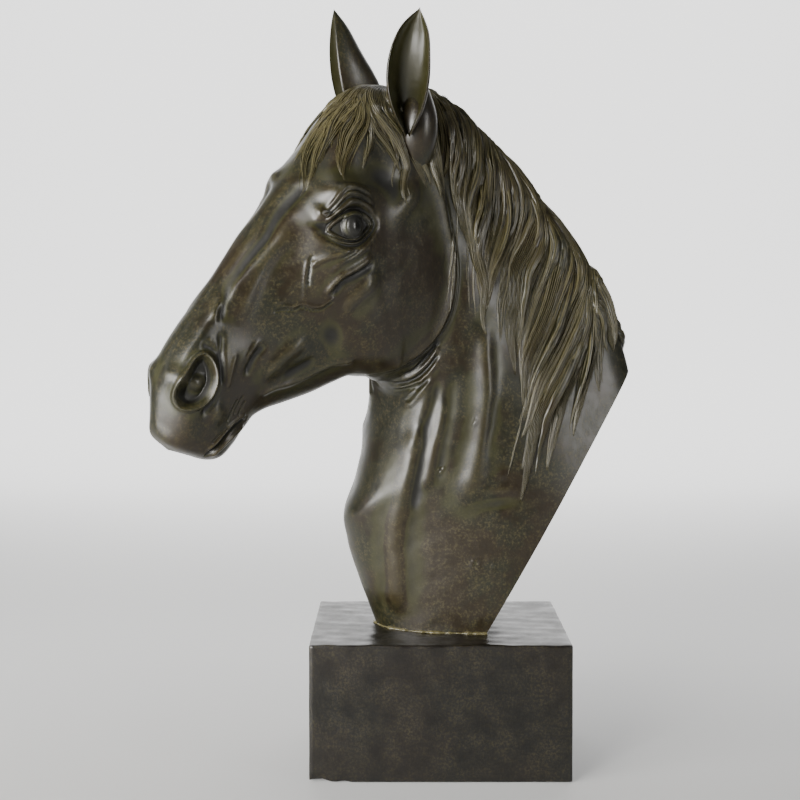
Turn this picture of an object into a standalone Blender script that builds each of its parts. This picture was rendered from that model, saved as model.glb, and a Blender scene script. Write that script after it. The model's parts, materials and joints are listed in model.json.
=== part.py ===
"""A horse's head and neck in the round, standing on a rectangular plinth.

The bust is first laid out unturned, in a profile plane: the nose points to -X, the near
side to -Y and the crest to +X. Sections fan round the throat from the lips to the foot of
the neck, the carving stands over them as heights, and hair and ears are lofts of their own.
The whole is then turned at the neck towards the near side, and cut flat below and behind.
"""

import math

import bmesh
import bpy
import numpy as np

MM = 0.001

# Plinth
PLINTH_LENGTH = 0.2010
PLINTH_DEPTH = 0.158
PLINTH_HEIGHT = 0.1050
PLINTH_EDGE = 0.0015
GAP = 0.0003

# How the neck turns: yaw and roll grow from BEND_START to BEND_END, above TURN_LOW
HEAD_YAW = math.radians(38)
HEAD_ROLL = math.radians(7)
BEND_START = 0.090
BEND_END = -0.045
TURN_LOW = 0.130
TURN_HIGH = 0.310
FACE_START = -0.075
ROLL_HEIGHT = 0.430

# Flat cut behind the neck: a point near its foot and one at the crest, as (x, z)
BACK_CUT_FOOT = (0.0378, 0.1070)
BACK_CUT_CREST = (0.1478, 0.2985)

# Fineness of the lofts, and of the one skin drawn over them
ALONG_STEPS = 300
ROUND_STEPS = 240
VOXEL = 0.0016
KEPT_SHARE = 0.0272

# The head's own directions in the profile plane: down the face, and across to the jaw
POLL = np.array([-0.062, 0.531])
DOWN_FACE = np.array([-0.572, -0.820]) / math.hypot(0.572, 0.820)
TO_JAW = np.array([-DOWN_FACE[1], DOWN_FACE[0]])

# Share of a section's depth at which each half width in the rows is taken
DEPTHS = (0.0, 0.05, 0.17, 0.34, 0.52, 0.70, 0.86, 0.96, 1.0)

# Head rows, lips to poll: (down face, to jaw) of the upper line and of the lower line in
# metres, then half widths in millimetres
HEAD_ROWS = (
    ((0.3215, 0.0150), (0.3215, 0.0150), (0, 0, 0, 0, 0, 0, 0)),
    ((0.3185, -0.0005), (0.3165, 0.0300), (6, 11, 14, 14.5, 13, 9, 4)),
    ((0.3085, -0.0105), (0.3120, 0.0435), (7, 14, 19, 19.5, 17, 13, 7)),
    ((0.2965, -0.0195), (0.3050, 0.0520), (10, 18, 23.5, 22.5, 19.5, 16, 9)),
    ((0.2830, -0.0265), (0.2920, 0.0550), (13, 21, 26, 23.5, 20, 17, 10)),
    ((0.2650, -0.0300), (0.2790, 0.0560), (15, 21.5, 27, 24, 20, 15.5, 9)),
    ((0.2450, -0.0305), (0.2610, 0.0600), (16, 20.5, 25, 24, 20.5, 15, 9)),
    ((0.2250, -0.0305), (0.2430, 0.0745), (16, 20, 24, 25.5, 22.5, 16.5, 9)),
    ((0.2000, -0.0310), (0.2240, 0.0900), (17, 21.5, 26.5, 29, 27, 21, 12)),
    ((0.1750, -0.0310), (0.2090, 0.0995), (18, 24.5, 32.5, 35, 33, 27, 16)),
    ((0.1500, -0.0300), (0.1985, 0.1062), (20, 30, 40.5, 42, 41, 35, 21)),
    ((0.1250, -0.0295), (0.1925, 0.1155), (23, 40, 49, 46, 46, 41, 25)),
    ((0.1000, -0.0290), (0.1880, 0.1230), (27, 47, 51, 49.5, 48.5, 44, 27)),
    ((0.0750, -0.0275), (0.1850, 0.1290), (26, 41, 47.5, 49, 48.5, 44.5, 27)),
    ((0.0500, -0.0270), (0.1840, 0.1340), (25, 36, 44, 48, 48.5, 44, 27)),
    ((0.0250, -0.0205), (0.1835, 0.1370), (22, 31, 42, 47, 48, 43, 26)),
)

# Neck rows, poll to foot: (x, z) on the crest and on the throat, then half widths
NECK_ROWS = (
    ((-0.0620, 0.5290), (-0.0470, 0.3020), (19, 29, 40, 46, 47, 41, 25)),
    ((-0.0360, 0.5310), (-0.0425, 0.2970), (17, 28, 38.5, 45, 46, 38.5, 23)),
    ((-0.0080, 0.5230), (-0.0400, 0.2900), (15, 26, 37, 43, 43, 35, 21)),
    ((0.0220, 0.5050), (-0.0420, 0.2790), (14, 25, 37, 42, 41, 33, 20)),
    ((0.0540, 0.4770), (-0.0465, 0.2640), (13, 24, 38, 44, 43, 34, 20)),
    ((0.0870, 0.4360), (-0.0540, 0.2430), (13, 24, 39, 47, 46, 36, 21)),
    ((0.1160, 0.3955), (-0.0660, 0.2160), (13, 25, 40, 50, 49, 38, 22)),
    ((0.1360, 0.3640), (-0.0755, 0.1960), (13, 25, 41, 51, 50, 39, 23)),
    ((0.1510, 0.3200), (-0.0735, 0.1730), (13, 25, 41, 51, 50, 39, 23)),
    ((0.1650, 0.2600), (-0.0655, 0.1450), (12, 25, 40, 49, 48, 38, 22)),
    ((0.1700, 0.1800), (-0.0545, 0.1160), (12, 25, 38, 45, 44, 36, 21)),
    ((0.1650, 0.1050), (-0.0465, 0.0940), (12, 24, 36, 42, 41, 34, 20)),
    ((0.1550, 0.0600), (-0.0400, 0.0700), (12, 24, 35, 41, 40, 33, 20)),
)

# The eye's middle, half length and tilt, and the rim of the nostril, in the profile plane
EYE = (-0.1210, 0.4240)
EYE_HALF = 0.0175
EYE_TILT = 0.16
EYEBALL = 0.0135
NOSTRIL_RIM = (
    (-0.2205, 0.3305), (-0.2160, 0.3265), (-0.2135, 0.3185), (-0.2138, 0.3100), (-0.2176, 0.3005),
    (-0.2243, 0.2948), (-0.2320, 0.2926), (-0.2368, 0.2941), (-0.2397, 0.2995), (-0.2391, 0.3060),
    (-0.2358, 0.3135), (-0.2310, 0.3218), (-0.2262, 0.3282),
)

# Ridges (height above 0) and grooves (below 0) of the near and far side alike:
# height and width in millimetres, then the way of the line in the profile plane
RIDGES = (
    # arch from the eye to the ear, ridges slanting down from the eye and the hollow under them
    (2.2, 7.0, (-0.088, 0.428), (-0.072, 0.440), (-0.055, 0.462)),
    (1.6, 2.4, (-0.1190, 0.4085), (-0.1280, 0.4055), (-0.1400, 0.4010), (-0.1500, 0.3930)),
    (0.8, 1.8, (-0.1020, 0.4130), (-0.1110, 0.4085), (-0.1195, 0.4035), (-0.1285, 0.3985), (-0.1360, 0.3910)),
    (-0.8, 1.6, (-0.1130, 0.4115), (-0.1200, 0.4070), (-0.1290, 0.4025)),
    (2.0, 2.5, (-0.1020, 0.4050), (-0.1085, 0.3998), (-0.1205, 0.3924), (-0.1278, 0.3880), (-0.1371, 0.3737)),
    (-2.0, 3.0, (-0.0990, 0.4000), (-0.1070, 0.3950), (-0.1190, 0.3880), (-0.1260, 0.3830),
     (-0.1330, 0.3720)),
    (3.2, 6.0, (-0.0930, 0.3950), (-0.1050, 0.3820), (-0.1130, 0.3740), (-0.1190, 0.3660), (-0.1250, 0.3590)),
    # veins on the face
    (-1.2, 0.9, (-0.1478, 0.4030), (-0.1482, 0.3950), (-0.1490, 0.3870), (-0.1483, 0.3790)),
    (0.6, 1.2, (-0.1500, 0.4000), (-0.1508, 0.3870), (-0.1505, 0.3780), (-0.1500, 0.3690)),
    (0.5, 1.0, (-0.1455, 0.4000), (-0.1462, 0.3930)),
    (-1.1, 0.9, (-0.1700, 0.3610), (-0.1625, 0.3625), (-0.1563, 0.3625), (-0.1510, 0.3648), (-0.1435, 0.3630),
     (-0.1375, 0.3635), (-0.1335, 0.3665), (-0.1290, 0.3705)),
    (0.7, 1.2, (-0.1700, 0.3635), (-0.1625, 0.3652), (-0.1563, 0.3650), (-0.1510, 0.3675), (-0.1435, 0.3657),
     (-0.1375, 0.3662), (-0.1340, 0.3690), (-0.1290, 0.3735)),
    (0.5, 1.0, (-0.1705, 0.3655), (-0.1665, 0.3675), (-0.1630, 0.3690)),
    # edge of the nasal bone, the groove below it and the flank of the face
    (1.2, 3.2, (-0.1480, 0.4620), (-0.1590, 0.4470), (-0.1690, 0.4310), (-0.1800, 0.4140), (-0.1960, 0.3910),
     (-0.2100, 0.3620), (-0.2150, 0.3500)),
    (-2.6, 3.4, (-0.1430, 0.4560), (-0.1530, 0.4440), (-0.1650, 0.4290), (-0.1745, 0.4135), (-0.1845, 0.4010),
     (-0.1925, 0.3910), (-0.2010, 0.3790), (-0.2060, 0.3640), (-0.2075, 0.3500)),
    (2.2, 6.5, (-0.1560, 0.4280), (-0.1620, 0.4170), (-0.1700, 0.4050), (-0.1790, 0.3910), (-0.1860, 0.3760),
     (-0.1930, 0.3600), (-0.1960, 0.3480)),
    (0.6, 2.6, (-0.2035, 0.3730), (-0.2045, 0.3620), (-0.2050, 0.3520)),
    (-1.6, 2.4, (-0.2078, 0.3480), (-0.2078, 0.3400), (-0.2085, 0.3300), (-0.2075, 0.3180),
     (-0.2070, 0.3080)),
    (0.8, 2.0, (-0.2140, 0.3440), (-0.2165, 0.3385), (-0.2190, 0.3330)),
    # muscles between the jaw and the lips, and the lower edge of the jaw bone
    (1.0, 2.2, (-0.1780, 0.3410), (-0.1815, 0.3370), (-0.1860, 0.3300), (-0.1890, 0.3240)),
    (1.0, 2.0, (-0.1955, 0.3320), (-0.1985, 0.3250), (-0.2005, 0.3150), (-0.2025, 0.3050)),
    (-2.2, 3.0, (-0.1720, 0.3380), (-0.1800, 0.3310), (-0.1850, 0.3220), (-0.1890, 0.3120)),
    (3.4, 6.0, (-0.1760, 0.3090), (-0.1660, 0.3200), (-0.1530, 0.3330), (-0.1380, 0.3430)),
    (-2.2, 4.4, (-0.1600, 0.3110), (-0.1420, 0.3190), (-0.1280, 0.3290)),
    (1.8, 2.4, (-0.1720, 0.2980), (-0.1600, 0.3040), (-0.1440, 0.3080), (-0.1160, 0.3220), (-0.1000, 0.3240)),
    # folds behind the corner of the mouth
    (-0.9, 0.9, (-0.1860, 0.3000), (-0.1895, 0.2930), (-0.1930, 0.2850)),
    (-0.9, 0.9, (-0.1905, 0.2980), (-0.1940, 0.2900), (-0.1985, 0.2800)),
    (-0.7, 0.8, (-0.1830, 0.2960), (-0.1860, 0.2900), (-0.1880, 0.2840)),
    # mouth, with the edge of the upper lip over it and the lower lip under it
    (-2.8, 1.5, (-0.2125, 0.2545), (-0.2070, 0.2605), (-0.2018, 0.2668), (-0.1976, 0.2715), (-0.1900, 0.2770),
     (-0.1770, 0.2825)),
    (1.5, 1.3, (-0.2130, 0.2610), (-0.2050, 0.2670), (-0.1985, 0.2740), (-0.1915, 0.2800), (-0.1800, 0.2855)),
    (-0.9, 0.9, (-0.2090, 0.2660), (-0.2030, 0.2720), (-0.1960, 0.2775)),
    (1.7, 1.5, (-0.2075, 0.2545), (-0.2020, 0.2605), (-0.1945, 0.2670), (-0.1870, 0.2720), (-0.1790, 0.2765)),
    # muscles down the neck
    (1.5, 4.6, (-0.0255, 0.3150), (-0.0295, 0.3050), (-0.0305, 0.2920), (-0.0330, 0.2735), (-0.0356, 0.2620),
     (-0.0371, 0.2470)),
    (3.2, 7.4, (-0.0330, 0.2735), (-0.0371, 0.2500), (-0.0397, 0.2220), (-0.0395, 0.2100), (-0.0405, 0.1950),
     (-0.0387, 0.1710), (-0.0350, 0.1500), (-0.0325, 0.1150)),
    (-1.5, 4.6, (-0.0225, 0.3120), (-0.0250, 0.2910), (-0.0283, 0.2745), (-0.0300, 0.2575), (-0.0310, 0.2440),
     (-0.0315, 0.2280), (-0.0305, 0.2000)),
    (1.3, 4.2, (-0.0175, 0.2950), (-0.0205, 0.2665), (-0.0230, 0.2540), (-0.0232, 0.2380), (-0.0250, 0.2180)),
    (-1.0, 5.5, (-0.0110, 0.3150), (-0.0140, 0.2820), (-0.0150, 0.2665), (-0.0155, 0.2480),
     (-0.0155, 0.2200)),
    (3.6, 11.0, (0.0190, 0.3600), (0.0190, 0.3300), (0.0200, 0.3000), (0.0195, 0.2750), (0.0175, 0.2500),
     (0.0140, 0.2250), (0.0110, 0.2000)),
    (-1.0, 7.0, (0.0300, 0.3000), (0.0290, 0.2750), (0.0260, 0.2550), (0.0230, 0.2380)),
)

# Folds of the throat, each a groove with a soft ridge below it
THROAT_FOLDS = (
    ((-0.0475, 0.3085), (-0.0410, 0.3130), (-0.0360, 0.3195), (-0.0300, 0.3280), (-0.0240, 0.3400)),
    ((-0.0475, 0.2990), (-0.0440, 0.3010), (-0.0402, 0.3040), (-0.0355, 0.3090), (-0.0295, 0.3180),
     (-0.0235, 0.3290)),
    ((-0.0472, 0.2880), (-0.0440, 0.2905), (-0.0410, 0.2940), (-0.0378, 0.2990), (-0.0335, 0.3070)),
    ((-0.0400, 0.2870), (-0.0370, 0.2940), (-0.0335, 0.3020), (-0.0290, 0.3110)),
)
FOLD_DROP = (0.0, -0.0047)

# Rear edge of the cheek, from under the ear round to the underside of the jaw
CHEEK_EDGE = (
    (-0.046, 0.478), (-0.031, 0.452), (-0.023, 0.424), (-0.0145, 0.398), (-0.0155, 0.371),
    (-0.025, 0.347), (-0.040, 0.331), (-0.060, 0.3185), (-0.082, 0.3125), (-0.105, 0.3120),
)

# Swellings and hollows: height, half length and half height in millimetres, tilt, middle
SWELLINGS = (
    (2.6, 2.6, 5.0, 0.1, (-0.1430, 0.4330)),
    (-2.2, 3.0, 4.0, 0.5, (-0.1372, 0.4345)),
    (-1.2, 5.0, 2.6, 0.2, (-0.1440, 0.4245)),
    (-3.5, 16.0, 12.0, 0.0, (-0.085, 0.460)),
    (1.5, 9.0, 8.0, 0.0, (-0.066, 0.450)),
    (-2.6, 9.0, 13.0, 0.5, (-0.124, 0.343)),
    (-1.2, 6.0, 5.0, 0.0, (-0.171, 0.283)),
    (1.5, 10.0, 12.0, 0.0, (-0.236, 0.276)),
    (2.0, 6.0, 8.0, 0.3, (-0.2080, 0.2870)),
    (-1.4, 10.0, 6.0, 0.8, (-0.219, 0.290)),
    (5.0, 17.0, 8.0, 0.1, (-0.124, 0.449)),
    (4.0, 9.0, 7.5, 0.0, (-0.236, 0.3135)),
    (0.5, 4.0, 3.0, 0.0, (0.0240, 0.2300)),
    (0.4, 3.0, 3.0, 0.0, (0.0330, 0.2270)),
    (0.5, 5.0, 3.0, 0.2, (0.0430, 0.2310)),
    (0.8, 16.0, 4.0, 0.0, (0.0420, 0.2190)),
    (-0.9, 16.0, 5.0, 0.05, (0.0400, 0.2080)),
    (-0.4, 3.0, 3.0, 0.0, (0.0280, 0.1610)),
    (0.4, 2.4, 2.4, 0.0, (0.0095, 0.2755)),
    (-0.6, 1.3, 1.3, 0.0, (0.0095, 0.2755)),
    (1.5, 30.0, 26.0, 0.0, (-0.0620, 0.3720)),
)

# The brow of the far side, seen over the nose: height, half length and height, middle
FAR_BROW = (3.5, 8.0, 9.0, (-0.1470, 0.4550))

# Locks of the mane on the near side. Each has its width and height in millimetres, then
# its way over the bust as (share along from lips to foot, share round from the top line)
MANE = (
    (7, 3, (0.425, 0.020), (0.431, 0.095), (0.432, 0.120), (0.429, 0.140), (0.415, 0.155), (0.405, 0.165)),
    (7, 3, (0.432, 0.020), (0.439, 0.100), (0.440, 0.130), (0.437, 0.155), (0.428, 0.178)),
    (12, 3, (0.425, 0.975), (0.435, 0.035), (0.445, 0.120), (0.447, 0.150), (0.450, 0.175), (0.458, 0.190)),
    (15, 3.5, (0.435, 0.975), (0.450, 0.055), (0.459, 0.090), (0.465, 0.125), (0.465, 0.155), (0.463, 0.173),
     (0.472, 0.190), (0.490, 0.200), (0.505, 0.213)),
    (15, 4, (0.452, 0.975), (0.474, 0.030), (0.480, 0.090), (0.483, 0.125), (0.480, 0.158), (0.482, 0.180),
     (0.495, 0.197), (0.522, 0.212)),
    (16, 5, (0.468, 0.975), (0.490, 0.030), (0.495, 0.077), (0.503, 0.105), (0.505, 0.158), (0.503, 0.183),
     (0.510, 0.201), (0.540, 0.210), (0.552, 0.228), (0.568, 0.236), (0.580, 0.234)),
    (15, 5, (0.482, 0.975), (0.503, 0.045), (0.515, 0.083), (0.524, 0.108), (0.530, 0.128), (0.530, 0.152),
     (0.528, 0.176), (0.535, 0.198), (0.545, 0.213)),
    (16, 5, (0.492, 0.975), (0.515, 0.045), (0.530, 0.075), (0.542, 0.100), (0.548, 0.120), (0.550, 0.152),
     (0.550, 0.180), (0.552, 0.200), (0.562, 0.226)),
    (20, 5, (0.495, 0.975), (0.518, 0.020), (0.540, 0.030), (0.557, 0.040), (0.570, 0.065), (0.573, 0.090),
     (0.577, 0.120), (0.580, 0.152), (0.600, 0.172), (0.610, 0.187), (0.625, 0.193), (0.662, 0.200)),
    (18, 5, (0.550, 0.975), (0.573, 0.055), (0.583, 0.080), (0.590, 0.105), (0.594, 0.135), (0.607, 0.155),
     (0.628, 0.176), (0.640, 0.188)),
    (18, 6, (0.555, 0.975), (0.575, 0.035), (0.590, 0.045), (0.607, 0.058), (0.617, 0.078), (0.625, 0.100),
     (0.643, 0.142), (0.656, 0.172), (0.667, 0.185), (0.683, 0.193), (0.700, 0.200)),
    (20, 6, (0.550, 0.975), (0.570, 0.012), (0.592, 0.012), (0.613, 0.018), (0.630, 0.032), (0.640, 0.050),
     (0.648, 0.073), (0.656, 0.100), (0.670, 0.130), (0.692, 0.170), (0.718, 0.197), (0.727, 0.210)),
    (15, 6, (0.620, 0.975), (0.642, 0.050), (0.655, 0.065), (0.666, 0.083), (0.682, 0.115), (0.703, 0.157),
     (0.722, 0.185), (0.750, 0.204), (0.792, 0.226)),
    (13, 5, (0.668, 0.088), (0.687, 0.120), (0.697, 0.138), (0.707, 0.155), (0.720, 0.170), (0.735, 0.178),
     (0.750, 0.187)),
    (13, 5, (0.655, 0.070), (0.678, 0.100), (0.688, 0.113), (0.700, 0.130), (0.725, 0.155), (0.752, 0.170)),
    (13, 5, (0.630, 0.975), (0.652, 0.060), (0.668, 0.070), (0.682, 0.080), (0.692, 0.090), (0.718, 0.118),
     (0.747, 0.143), (0.760, 0.150)),
    (12, 4, (0.640, 0.975), (0.660, 0.055), (0.678, 0.050), (0.692, 0.052), (0.714, 0.052)),
    (14, 7, (0.632, 0.975), (0.652, 0.015), (0.670, 0.020), (0.686, 0.028), (0.699, 0.035), (0.710, 0.045)),
)

# Thick rolls of hair that make the scalloped line of the crest
CREST_ROLLS = (
    (14, 4, (0.450, 0.985), (0.470, 0.995), (0.485, 0.000), (0.497, 0.030), (0.505, 0.060)),
    (17, 3, (0.500, 0.985), (0.525, 0.995), (0.548, 0.000), (0.562, 0.020), (0.570, 0.050)),
    (19, 2.5, (0.562, 0.985), (0.588, 0.995), (0.612, 0.000), (0.630, 0.020), (0.640, 0.050)),
    (17, 4.5, (0.630, 0.985), (0.652, 0.995), (0.675, 0.000), (0.694, 0.015), (0.706, 0.030)),
)

# Locks of the forelock, from the poll over the forehead
FORELOCK = (
    (12, 3, (0.385, 0.990), (0.355, 0.000), (0.347, 0.996), (0.338, 0.993), (0.328, 0.990), (0.317, 0.992),
     (0.305, 0.995)),
    (9, 4, (0.380, 0.995), (0.352, 0.008), (0.340, 0.008), (0.332, 0.005), (0.320, 0.008), (0.310, 0.018),
     (0.302, 0.030), (0.295, 0.045), (0.287, 0.055)),
    (9, 4, (0.380, 0.000), (0.357, 0.020), (0.340, 0.020), (0.332, 0.022), (0.322, 0.027), (0.313, 0.035),
     (0.304, 0.047), (0.296, 0.055), (0.289, 0.060)),
    (10, 4, (0.382, 0.003), (0.360, 0.030), (0.354, 0.036), (0.346, 0.035), (0.327, 0.037), (0.318, 0.042),
     (0.310, 0.050)),
    (9, 4, (0.383, 0.006), (0.362, 0.030), (0.357, 0.045), (0.352, 0.055), (0.346, 0.060), (0.338, 0.062),
     (0.329, 0.070), (0.322, 0.077), (0.319, 0.086), (0.317, 0.096)),
    (6, 3, (0.384, 0.008), (0.366, 0.045), (0.360, 0.066), (0.352, 0.078), (0.341, 0.083), (0.332, 0.085),
     (0.326, 0.088), (0.320, 0.095), (0.315, 0.103)),
    (9, 4, (0.386, 0.008), (0.369, 0.035), (0.363, 0.055), (0.360, 0.070), (0.360, 0.083), (0.358, 0.096),
     (0.355, 0.107), (0.350, 0.115), (0.340, 0.125)),
    (9, 4, (0.388, 0.010), (0.370, 0.050), (0.361, 0.070), (0.361, 0.087), (0.364, 0.105), (0.370, 0.125),
     (0.375, 0.142), (0.381, 0.165)),
    (11, 5, (0.390, 0.012), (0.371, 0.040), (0.367, 0.068), (0.372, 0.100), (0.382, 0.130), (0.387, 0.157),
     (0.384, 0.168), (0.377, 0.188), (0.379, 0.202)),
    (11, 4, (0.392, 0.015), (0.379, 0.035), (0.375, 0.060), (0.375, 0.082), (0.386, 0.118), (0.398, 0.150),
     (0.401, 0.162), (0.408, 0.183)),
    (10, 4, (0.396, 0.018), (0.382, 0.055), (0.390, 0.093), (0.400, 0.130), (0.410, 0.165), (0.413, 0.180)),
    (10, 4, (0.402, 0.050), (0.407, 0.085), (0.413, 0.115), (0.417, 0.140), (0.419, 0.165), (0.426, 0.192)),
    (9, 4, (0.416, 0.080), (0.420, 0.105), (0.423, 0.135), (0.428, 0.160), (0.436, 0.190)),
    (14, 4, (0.395, 0.985), (0.365, 0.960), (0.350, 0.935), (0.330, 0.925), (0.318, 0.910)),
    (13, 4, (0.395, 0.980), (0.375, 0.945), (0.378, 0.890), (0.388, 0.845), (0.382, 0.810)),
    (9, 4, (0.400, 0.975), (0.385, 0.940), (0.398, 0.880), (0.412, 0.835), (0.432, 0.805)),
)

# Short roots of the mane that show over the crest on the far side
FAR_ROOTS = 13
FAR_ROOT_REACH = 0.085

# Ears: way of the middle of the opening from its foot to the tip, where it faces as (x, y),
# the half widths of the opening and the depths of the cup behind it
NEAR_EAR = (
    ((-0.0695, -0.0385, 0.4930), (-0.0750, -0.0430, 0.5120), (-0.0790, -0.0460, 0.5310),
     (-0.0800, -0.0475, 0.5500), (-0.0777, -0.0480, 0.5690), (-0.0742, -0.0475, 0.5848)),
    (-0.62, -0.785),
    (0.0030, 0.0125, 0.0163, 0.0157, 0.0112, 0.0010),
    (0.0200, 0.0230, 0.0210, 0.0160, 0.0100, 0.0008),
)
FAR_EAR = (
    ((-0.0560, 0.0190, 0.4760), (-0.0665, 0.0310, 0.4990), (-0.0745, 0.0390, 0.5170),
     (-0.0790, 0.0430, 0.5340), (-0.0820, 0.0450, 0.5520), (-0.0840, 0.0455, 0.5700),
     (-0.0850, 0.0455, 0.5860)),
    (-0.93, 0.37),
    (0.0030, 0.0080, 0.0122, 0.0147, 0.0138, 0.0090, 0.0008),
    (0.0150, 0.0270, 0.0320, 0.0290, 0.0215, 0.0125, 0.0008),
)
EAR_LIP = 0.0060
EAR_WALL = 0.0026

# Roots of the ears, down into the neck, and their radii
NEAR_EAR_ROOT = (
    ((-0.0520, -0.0250, 0.5270), (-0.0535, -0.0285, 0.5060), (-0.0520, -0.0260, 0.4850),
     (-0.0460, -0.0170, 0.4560)),
    (0.0085, 0.0150, 0.0150, 0.0070),
)
FAR_EAR_ROOT = (
    ((-0.0580, 0.0260, 0.5240), (-0.0555, 0.0190, 0.5020), (-0.0530, 0.0170, 0.4800),
     (-0.0480, 0.0190, 0.4500)),
    (0.0100, 0.0200, 0.0205, 0.0130),
)


def ease(share):
    """0 to 1 with level ends."""
    share = np.clip(share, 0, 1)
    return share * share * (3 - 2 * share)


def bell(distance, at, width):
    return np.exp(-(((distance - at) / width) ** 2))


def hermite(knots, values, at):
    """Cubic curve through the values at the knots, read at the given places."""
    slopes = np.gradient(values, knots, axis=0)
    i = np.clip(np.searchsorted(knots, at, side="right") - 1, 0, len(knots) - 2)
    span = (knots[i + 1] - knots[i])[..., None]
    u = (at - knots[i])[..., None] / span
    rising = u * u * (3 - 2 * u)
    leaving = u * (1 - u) ** 2 * span
    arriving = u * u * (u - 1) * span
    return values[i] * (1 - rising) + values[i + 1] * rising + leaving * slopes[i] + arriving * slopes[i + 1]


def curve_through(points, per_span=8, closed=False):
    """Smooth polyline through a few points."""
    p = np.asarray(points, float)
    if closed:
        p = np.concatenate([p[-1:], p, p[:2]])
    else:
        p = np.concatenate([2 * p[:1] - p[1:2], p, 2 * p[-1:] - p[-2:-1]])
    u = np.linspace(0, 1, per_span, endpoint=False)[None, :, None]
    a, b, c, d = (q[:, None, :] for q in (p[:-3], p[1:-2], p[2:-1], p[3:]))
    line = 0.5 * (2 * b + (c - a) * u + (2 * a - 5 * b + 4 * c - d) * u**2 + (3 * b - 3 * c + d - a) * u**3)
    line = line.reshape(-1, p.shape[1])
    return np.concatenate([line, line[:1] if closed else p[-2:-1]])


def along_path(x, z, path):
    """Distance to a polyline, which side of it (+1 on its left), and the share of the way."""
    ways = np.diff(path, axis=0)
    lengths = np.hypot(ways[:, 0], ways[:, 1])
    starts = np.concatenate([[0], np.cumsum(lengths)])
    nearest = np.full(x.shape, np.inf)
    side = np.zeros(x.shape)
    share = np.zeros(x.shape)
    for start, way, length, before in zip(path, ways, lengths, starts):
        dx = x - start[0]
        dz = z - start[1]
        t = np.clip((dx * way[0] + dz * way[1]) / length**2, 0, 1)
        distance = np.hypot(dx - t * way[0], dz - t * way[1])
        closer = distance < nearest
        nearest = np.where(closer, distance, nearest)
        side = np.where(closer, np.sign(way[0] * dz - way[1] * dx), side)
        share = np.where(closer, (before + t * length) / starts[-1], share)
    return nearest, side, share


def within(x, z, path, reach):
    low = path.min(axis=0) - reach
    high = path.max(axis=0) + reach
    return (x > low[0]) & (x < high[0]) & (z > low[1]) & (z < high[1])


def head_place(down, across):
    return POLL + down * DOWN_FACE + across * TO_JAW


def section_rows():
    """Upper points, lower points and half widths of all sections, lips to foot."""
    upper = [head_place(*row[0]) for row in HEAD_ROWS] + [row[0] for row in NECK_ROWS]
    lower = [head_place(*row[1]) for row in HEAD_ROWS] + [row[1] for row in NECK_ROWS]
    widths = [row[2] for row in HEAD_ROWS + NECK_ROWS]
    return np.array(upper), np.array(lower), np.array(widths) * MM


def plain_form(along, around):
    """The bust's plain form before carving; around runs from the top line by the near side."""
    upper, lower, widths = section_rows()
    steps = [np.linalg.norm(np.diff(line, axis=0), axis=1) for line in (upper, lower, (upper + lower) / 2)]
    knots = np.concatenate([[0], np.cumsum(sum(steps))])
    knots /= knots[-1]
    top = hermite(knots, upper, along)
    bottom = hermite(knots, lower, along)
    width = hermite(knots, widths, along)
    edge = np.zeros(width.shape[:-1] + (1,))
    width = np.concatenate([-width[..., :1], edge, width, edge, -width[..., -1:]], axis=-1)
    depth = np.array((DEPTHS[1],) + DEPTHS + (DEPTHS[-2],))
    depth_slope = np.gradient(depth)
    depth_slope[[1, -2]] = 0
    width_slope = np.gradient(width, axis=-1)
    around = around % 1.0
    spans = len(DEPTHS) - 1
    way = np.where(around > 0.5, 1 - around, around) * 2 * spans
    i = np.clip(way.astype(int), 0, spans - 1)
    u = way - i
    rising = u * u * (3 - 2 * u)
    leaving = u * (1 - u) ** 2
    arriving = u * u * (u - 1)

    def read(table, k):
        return np.take_along_axis(table, k[..., None], axis=-1)[..., 0]

    half = read(width, i + 1) * (1 - rising) + read(width, i + 2) * rising
    half = half + leaving * read(width_slope, i + 1) + arriving * read(width_slope, i + 2)
    down = depth[i + 1] * (1 - rising) + depth[i + 2] * rising
    down = down + leaving * depth_slope[i + 1] + arriving * depth_slope[i + 2]
    profile = top + (bottom - top) * down[..., None]
    return np.stack([profile[..., 0], np.where(around > 0.5, half, -half), profile[..., 1]], axis=-1)


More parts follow.
